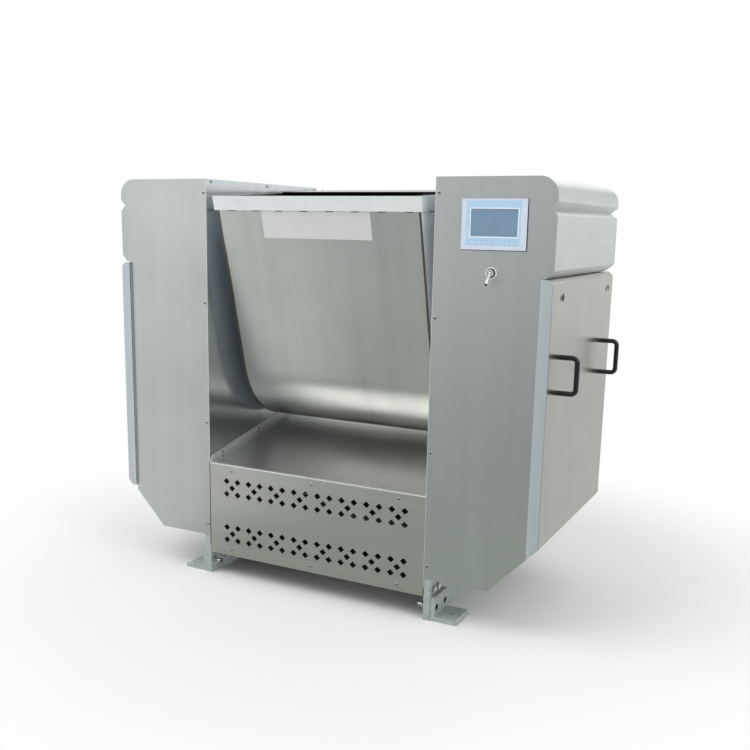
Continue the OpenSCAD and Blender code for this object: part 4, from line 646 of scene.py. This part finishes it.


# Touch panel: a light plastic case whose front is a pale blue printed film, round a
# blue-grey screen with a near-white lip set to its right and bottom as a painted highlight,
# above eight film keys that are only numbered.
def filmed(name, case, film, centre, half, roughness):
    """Moulded case whose front carries a film of a size about a centre, in metres."""
    material, tree = finish_material(name)
    place = add(tree, "ShaderNodeTexCoord").outputs["Object"]
    offset = add(tree, "ShaderNodeVectorMath", {0: place, 1: centre}, operation="SUBTRACT")
    size = add(tree, "ShaderNodeVectorMath", {0: offset.outputs[0]}, operation="ABSOLUTE")
    parts = add(tree, "ShaderNodeSeparateXYZ", {0: size.outputs[0]}).outputs
    inside = [add(tree, "ShaderNodeMapRange", {
        "Value": parts[axis], "From Min": reach, "From Max": reach - 0.0006}).outputs[0]
        for axis, reach in zip("XYZ", half)]
    flat = add(tree, "ShaderNodeMath", {0: inside[0], 1: inside[1]}, operation="MINIMUM")
    mask = add(tree, "ShaderNodeMath", {0: flat.outputs[0], 1: inside[2]},
               operation="MINIMUM").outputs[0]
    grain = add(tree, "ShaderNodeTexNoise", {"Vector": place, "Scale": 1400.0,
                                             "Detail": 3.0}).outputs["Fac"]
    haze = add(tree, "ShaderNodeTexNoise", {"Vector": place, "Scale": 14.0,
                                            "Detail": 2.0}).outputs["Fac"]
    print_ = add(tree, "ShaderNodeMix", {"Factor": haze, 6: linear(film[0]), 7: linear(film[1])},
                 data_type="RGBA").outputs[2]
    shell = add(tree, "ShaderNodeMix", {"Factor": haze, 6: linear(case[0]), 7: linear(case[1])},
                data_type="RGBA").outputs[2]
    colour = add(tree, "ShaderNodeMix", {"Factor": mask, 6: shell, 7: print_},
                 data_type="RGBA").outputs[2]
    rough = add(tree, "ShaderNodeMath", {0: mask, 1: -0.12, 2: roughness},
                operation="MULTIPLY_ADD").outputs[0]
    level = add(tree, "ShaderNodeMath", {0: grain, 1: 0.1, 2: mask},
                operation="MULTIPLY_ADD").outputs[0]
    bump = add(tree, "ShaderNodeBump", {"Height": level, "Strength": 0.3,
                                        "Distance": 0.0002}).outputs[0]
    skin = add(tree, "ShaderNodeBsdfPrincipled", {
        "Base Color": colour, "Roughness": rough, "Normal": bump})
    add(tree, "ShaderNodeOutputMaterial", {"Surface": skin.outputs[0]})
    return material


case_front, film_half, film_depth = -0.406, (0.0895, 0.0695), 0.002
film_centre = (0.6515, case_front, 1.3625)
panel_film = filmed("moulded_case_with_printed_film", ("d3deea", "cad5e2"),
                    ("a9cdeb", "b5d5ef"), film_centre,
                    (film_half[0], film_depth, film_half[1]), 0.45)
screen_glass = coated("display_window", "7692ab", "6d89a2", 0.12, 60.0, relief=0.0, coat=0.6)
key_film = coated("printed_polyester_keys", "c3dcf1", "b7d2ea", 0.35, 0.8, relief=0.1)
# Painted highlight: near-white plastic for the screen lip and the switch's dress ring.
highlight_white = coated("white_plastic_painted_highlight", "f6fafd", "ecf4fa", 0.3, 0.6, relief=0.05)
mark_ink = coated("grey_screen_ink", "7f8fa3", "76869a", 0.5, 0.5, relief=0.05)
eased("hmi_housing", panel_film, 1.2)
eased("hmi_screen", screen_glass, 0)
screen_spot, screen_half = (0.653, 1.3645), (0.0775, 0.043)
lip_wide, highlight_shift, lip_high, lip_sunk = 0.0028, 0.0013, 0.0006, 0.0002
bm = bmesh.new()
bmesh.ops.create_grid(bm, x_segments=1, y_segments=1, size=1.0)
bmesh.ops.scale(bm, vec=(screen_half[0] + lip_wide, screen_half[1] + lip_wide, 1), verts=bm.verts)
bmesh.ops.rotate(bm, matrix=Matrix.Rotation(math.radians(90), 3, "X"), verts=bm.verts)
bmesh.ops.inset_region(bm, faces=bm.faces, thickness=lip_wide, use_even_offset=True,
                       use_boundary=True)
inner = max(bm.faces, key=lambda f: f.calc_area())
bmesh.ops.delete(bm, geom=[inner], context="FACES_ONLY")
raised = bmesh.ops.extrude_face_region(bm, geom=bm.faces[:])["geom"]
bmesh.ops.translate(bm, vec=(0, -lip_high, 0), verts=[v for v in raised
                                                      if isinstance(v, bmesh.types.BMVert)])
bmesh.ops.translate(bm, vec=(screen_spot[0] + highlight_shift, case_front + lip_sunk,
                             screen_spot[1] - highlight_shift), verts=bm.verts)
bmesh.ops.recalc_face_normals(bm, faces=bm.faces)
piece("screen_lip_painted_highlight", bm, [highlight_white], body_of_node("hmi_housing"))
low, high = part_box("hmi_housing")
# Painted shadow: a black strip behind the housing, shifted right and down, draws the housing's
# shadow as a dark outline on those sides.
shadow_wide, shadow_shift, shadow_y, short_edge = 0.0015, 0.0006, (-0.4013, -0.4001), 0.01
shadow_x, shadow_z = ((low[i] - shadow_wide + shift, high[i] + shadow_wide + shift)
                      for i, shift in ((0, shadow_shift), (2, -shadow_shift)))
bm = strip((shadow_x, shadow_y, shadow_z), 4, segments=4,
           eases=lambda e: e.calc_length() < short_edge)
piece("hmi_painted_shadow", bm, [shade_rubber], body_of_node("hmi_housing"))
mark_height, mark_proud = 0.0062, 0.00012
for number in range(1, 9):
    node = "function_key_%d" % number
    eased(node, key_film, 0.3)
    low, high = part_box(node)
    letter = bpy.data.curves.new("mark", "FONT")
    letter.body = str(number)
    letter.size = mark_height
    letter.align_x, letter.align_y = "CENTER", "CENTER"
    holder = bpy.data.objects.new("mark", letter)
    flat = bpy.data.meshes.new_from_object(holder)
    bpy.data.objects.remove(holder)
    bpy.data.curves.remove(letter)
    bm = bmesh.new()
    bm.from_mesh(flat)
    bpy.data.meshes.remove(flat)
    bmesh.ops.rotate(bm, matrix=Matrix.Rotation(math.radians(90), 3, "X"), verts=bm.verts)
    bmesh.ops.translate(bm, vec=((low[0] + high[0]) / 2, low[1] - mark_proud,
                                 (low[2] + high[2]) / 2), verts=bm.verts)
    piece("key_mark_%d" % number, bm, [mark_ink], body_of_node(node))

# Lever switch: a nickel-plated collar on a black washer, with a bat lever on a cross pin
# whose end is capped in black. Round the collar, a black ring is a painted dark reflection
# and a pale dress ring outside it is a painted highlight.
nickel = coated("nickel_plate", "eff1f1", "d6dadb", 0.14, 1.0, metallic=0.75, relief=0.03)
washer_black = coated("black_moulded_washer", "1b1c1d", "131414", 0.45, 0.8, relief=0.1)
lever_pivot = Vector(joints["switch_throw"]["pos_m"])
lever_way, cap_from = Vector((0, -0.7071, -0.7071)), 0.0455
washer_front, washer_back, ring_back = -0.4070, -0.4031, -0.4002
eased("switch_body", nickel, 0.5, other=washer_black,
      where=lambda c: washer_front < c.y < washer_back)
eased("switch_lever", nickel, 0, other=washer_black,
      where=lambda c: (c - lever_pivot).dot(lever_way) > cap_from)
# A black ring as painted dark reflection and a near-white ring as painted highlight.
for name, material, inside, outside, front in (
        ("switch_ring_painted_reflection", washer_black, 0.0118, 0.0151, 0.0075),
        ("switch_dress_ring", highlight_white, 0.0149, 0.0184, 0.0030)):
    bm = bmesh.new()
    hoop = [bm.verts.new((radius, depth, 0)) for radius, depth in (
        (inside, 0), (outside, 0), (outside, -front), (inside, -front))]
    rim = [bm.edges.new((hoop[i], hoop[i - 1])) for i in range(4)]
    bmesh.ops.spin(bm, geom=hoop + rim, axis=(0, 1, 0), cent=(0, 0, 0), angle=2 * math.pi,
                   steps=48, use_merge=True)
    bmesh.ops.remove_doubles(bm, verts=bm.verts, dist=weld_gap)
    bmesh.ops.recalc_face_normals(bm, faces=bm.faces)
    front_rims = [e for e in bm.edges if all(v.co.y < -front / 2 for v in e.verts)
                  and e.is_manifold and e.calc_face_angle(0.0) > sharp_angle]
    bmesh.ops.bevel(bm, geom=front_rims, offset=front / 4, offset_type="OFFSET",
                    affect="EDGES", segments=3, profile=0.5, material=-1)
    bmesh.ops.translate(bm, vec=(lever_pivot.x, ring_back, lever_pivot.z), verts=bm.verts)
    piece(name, bm, [material], body_of_node("switch_body"))
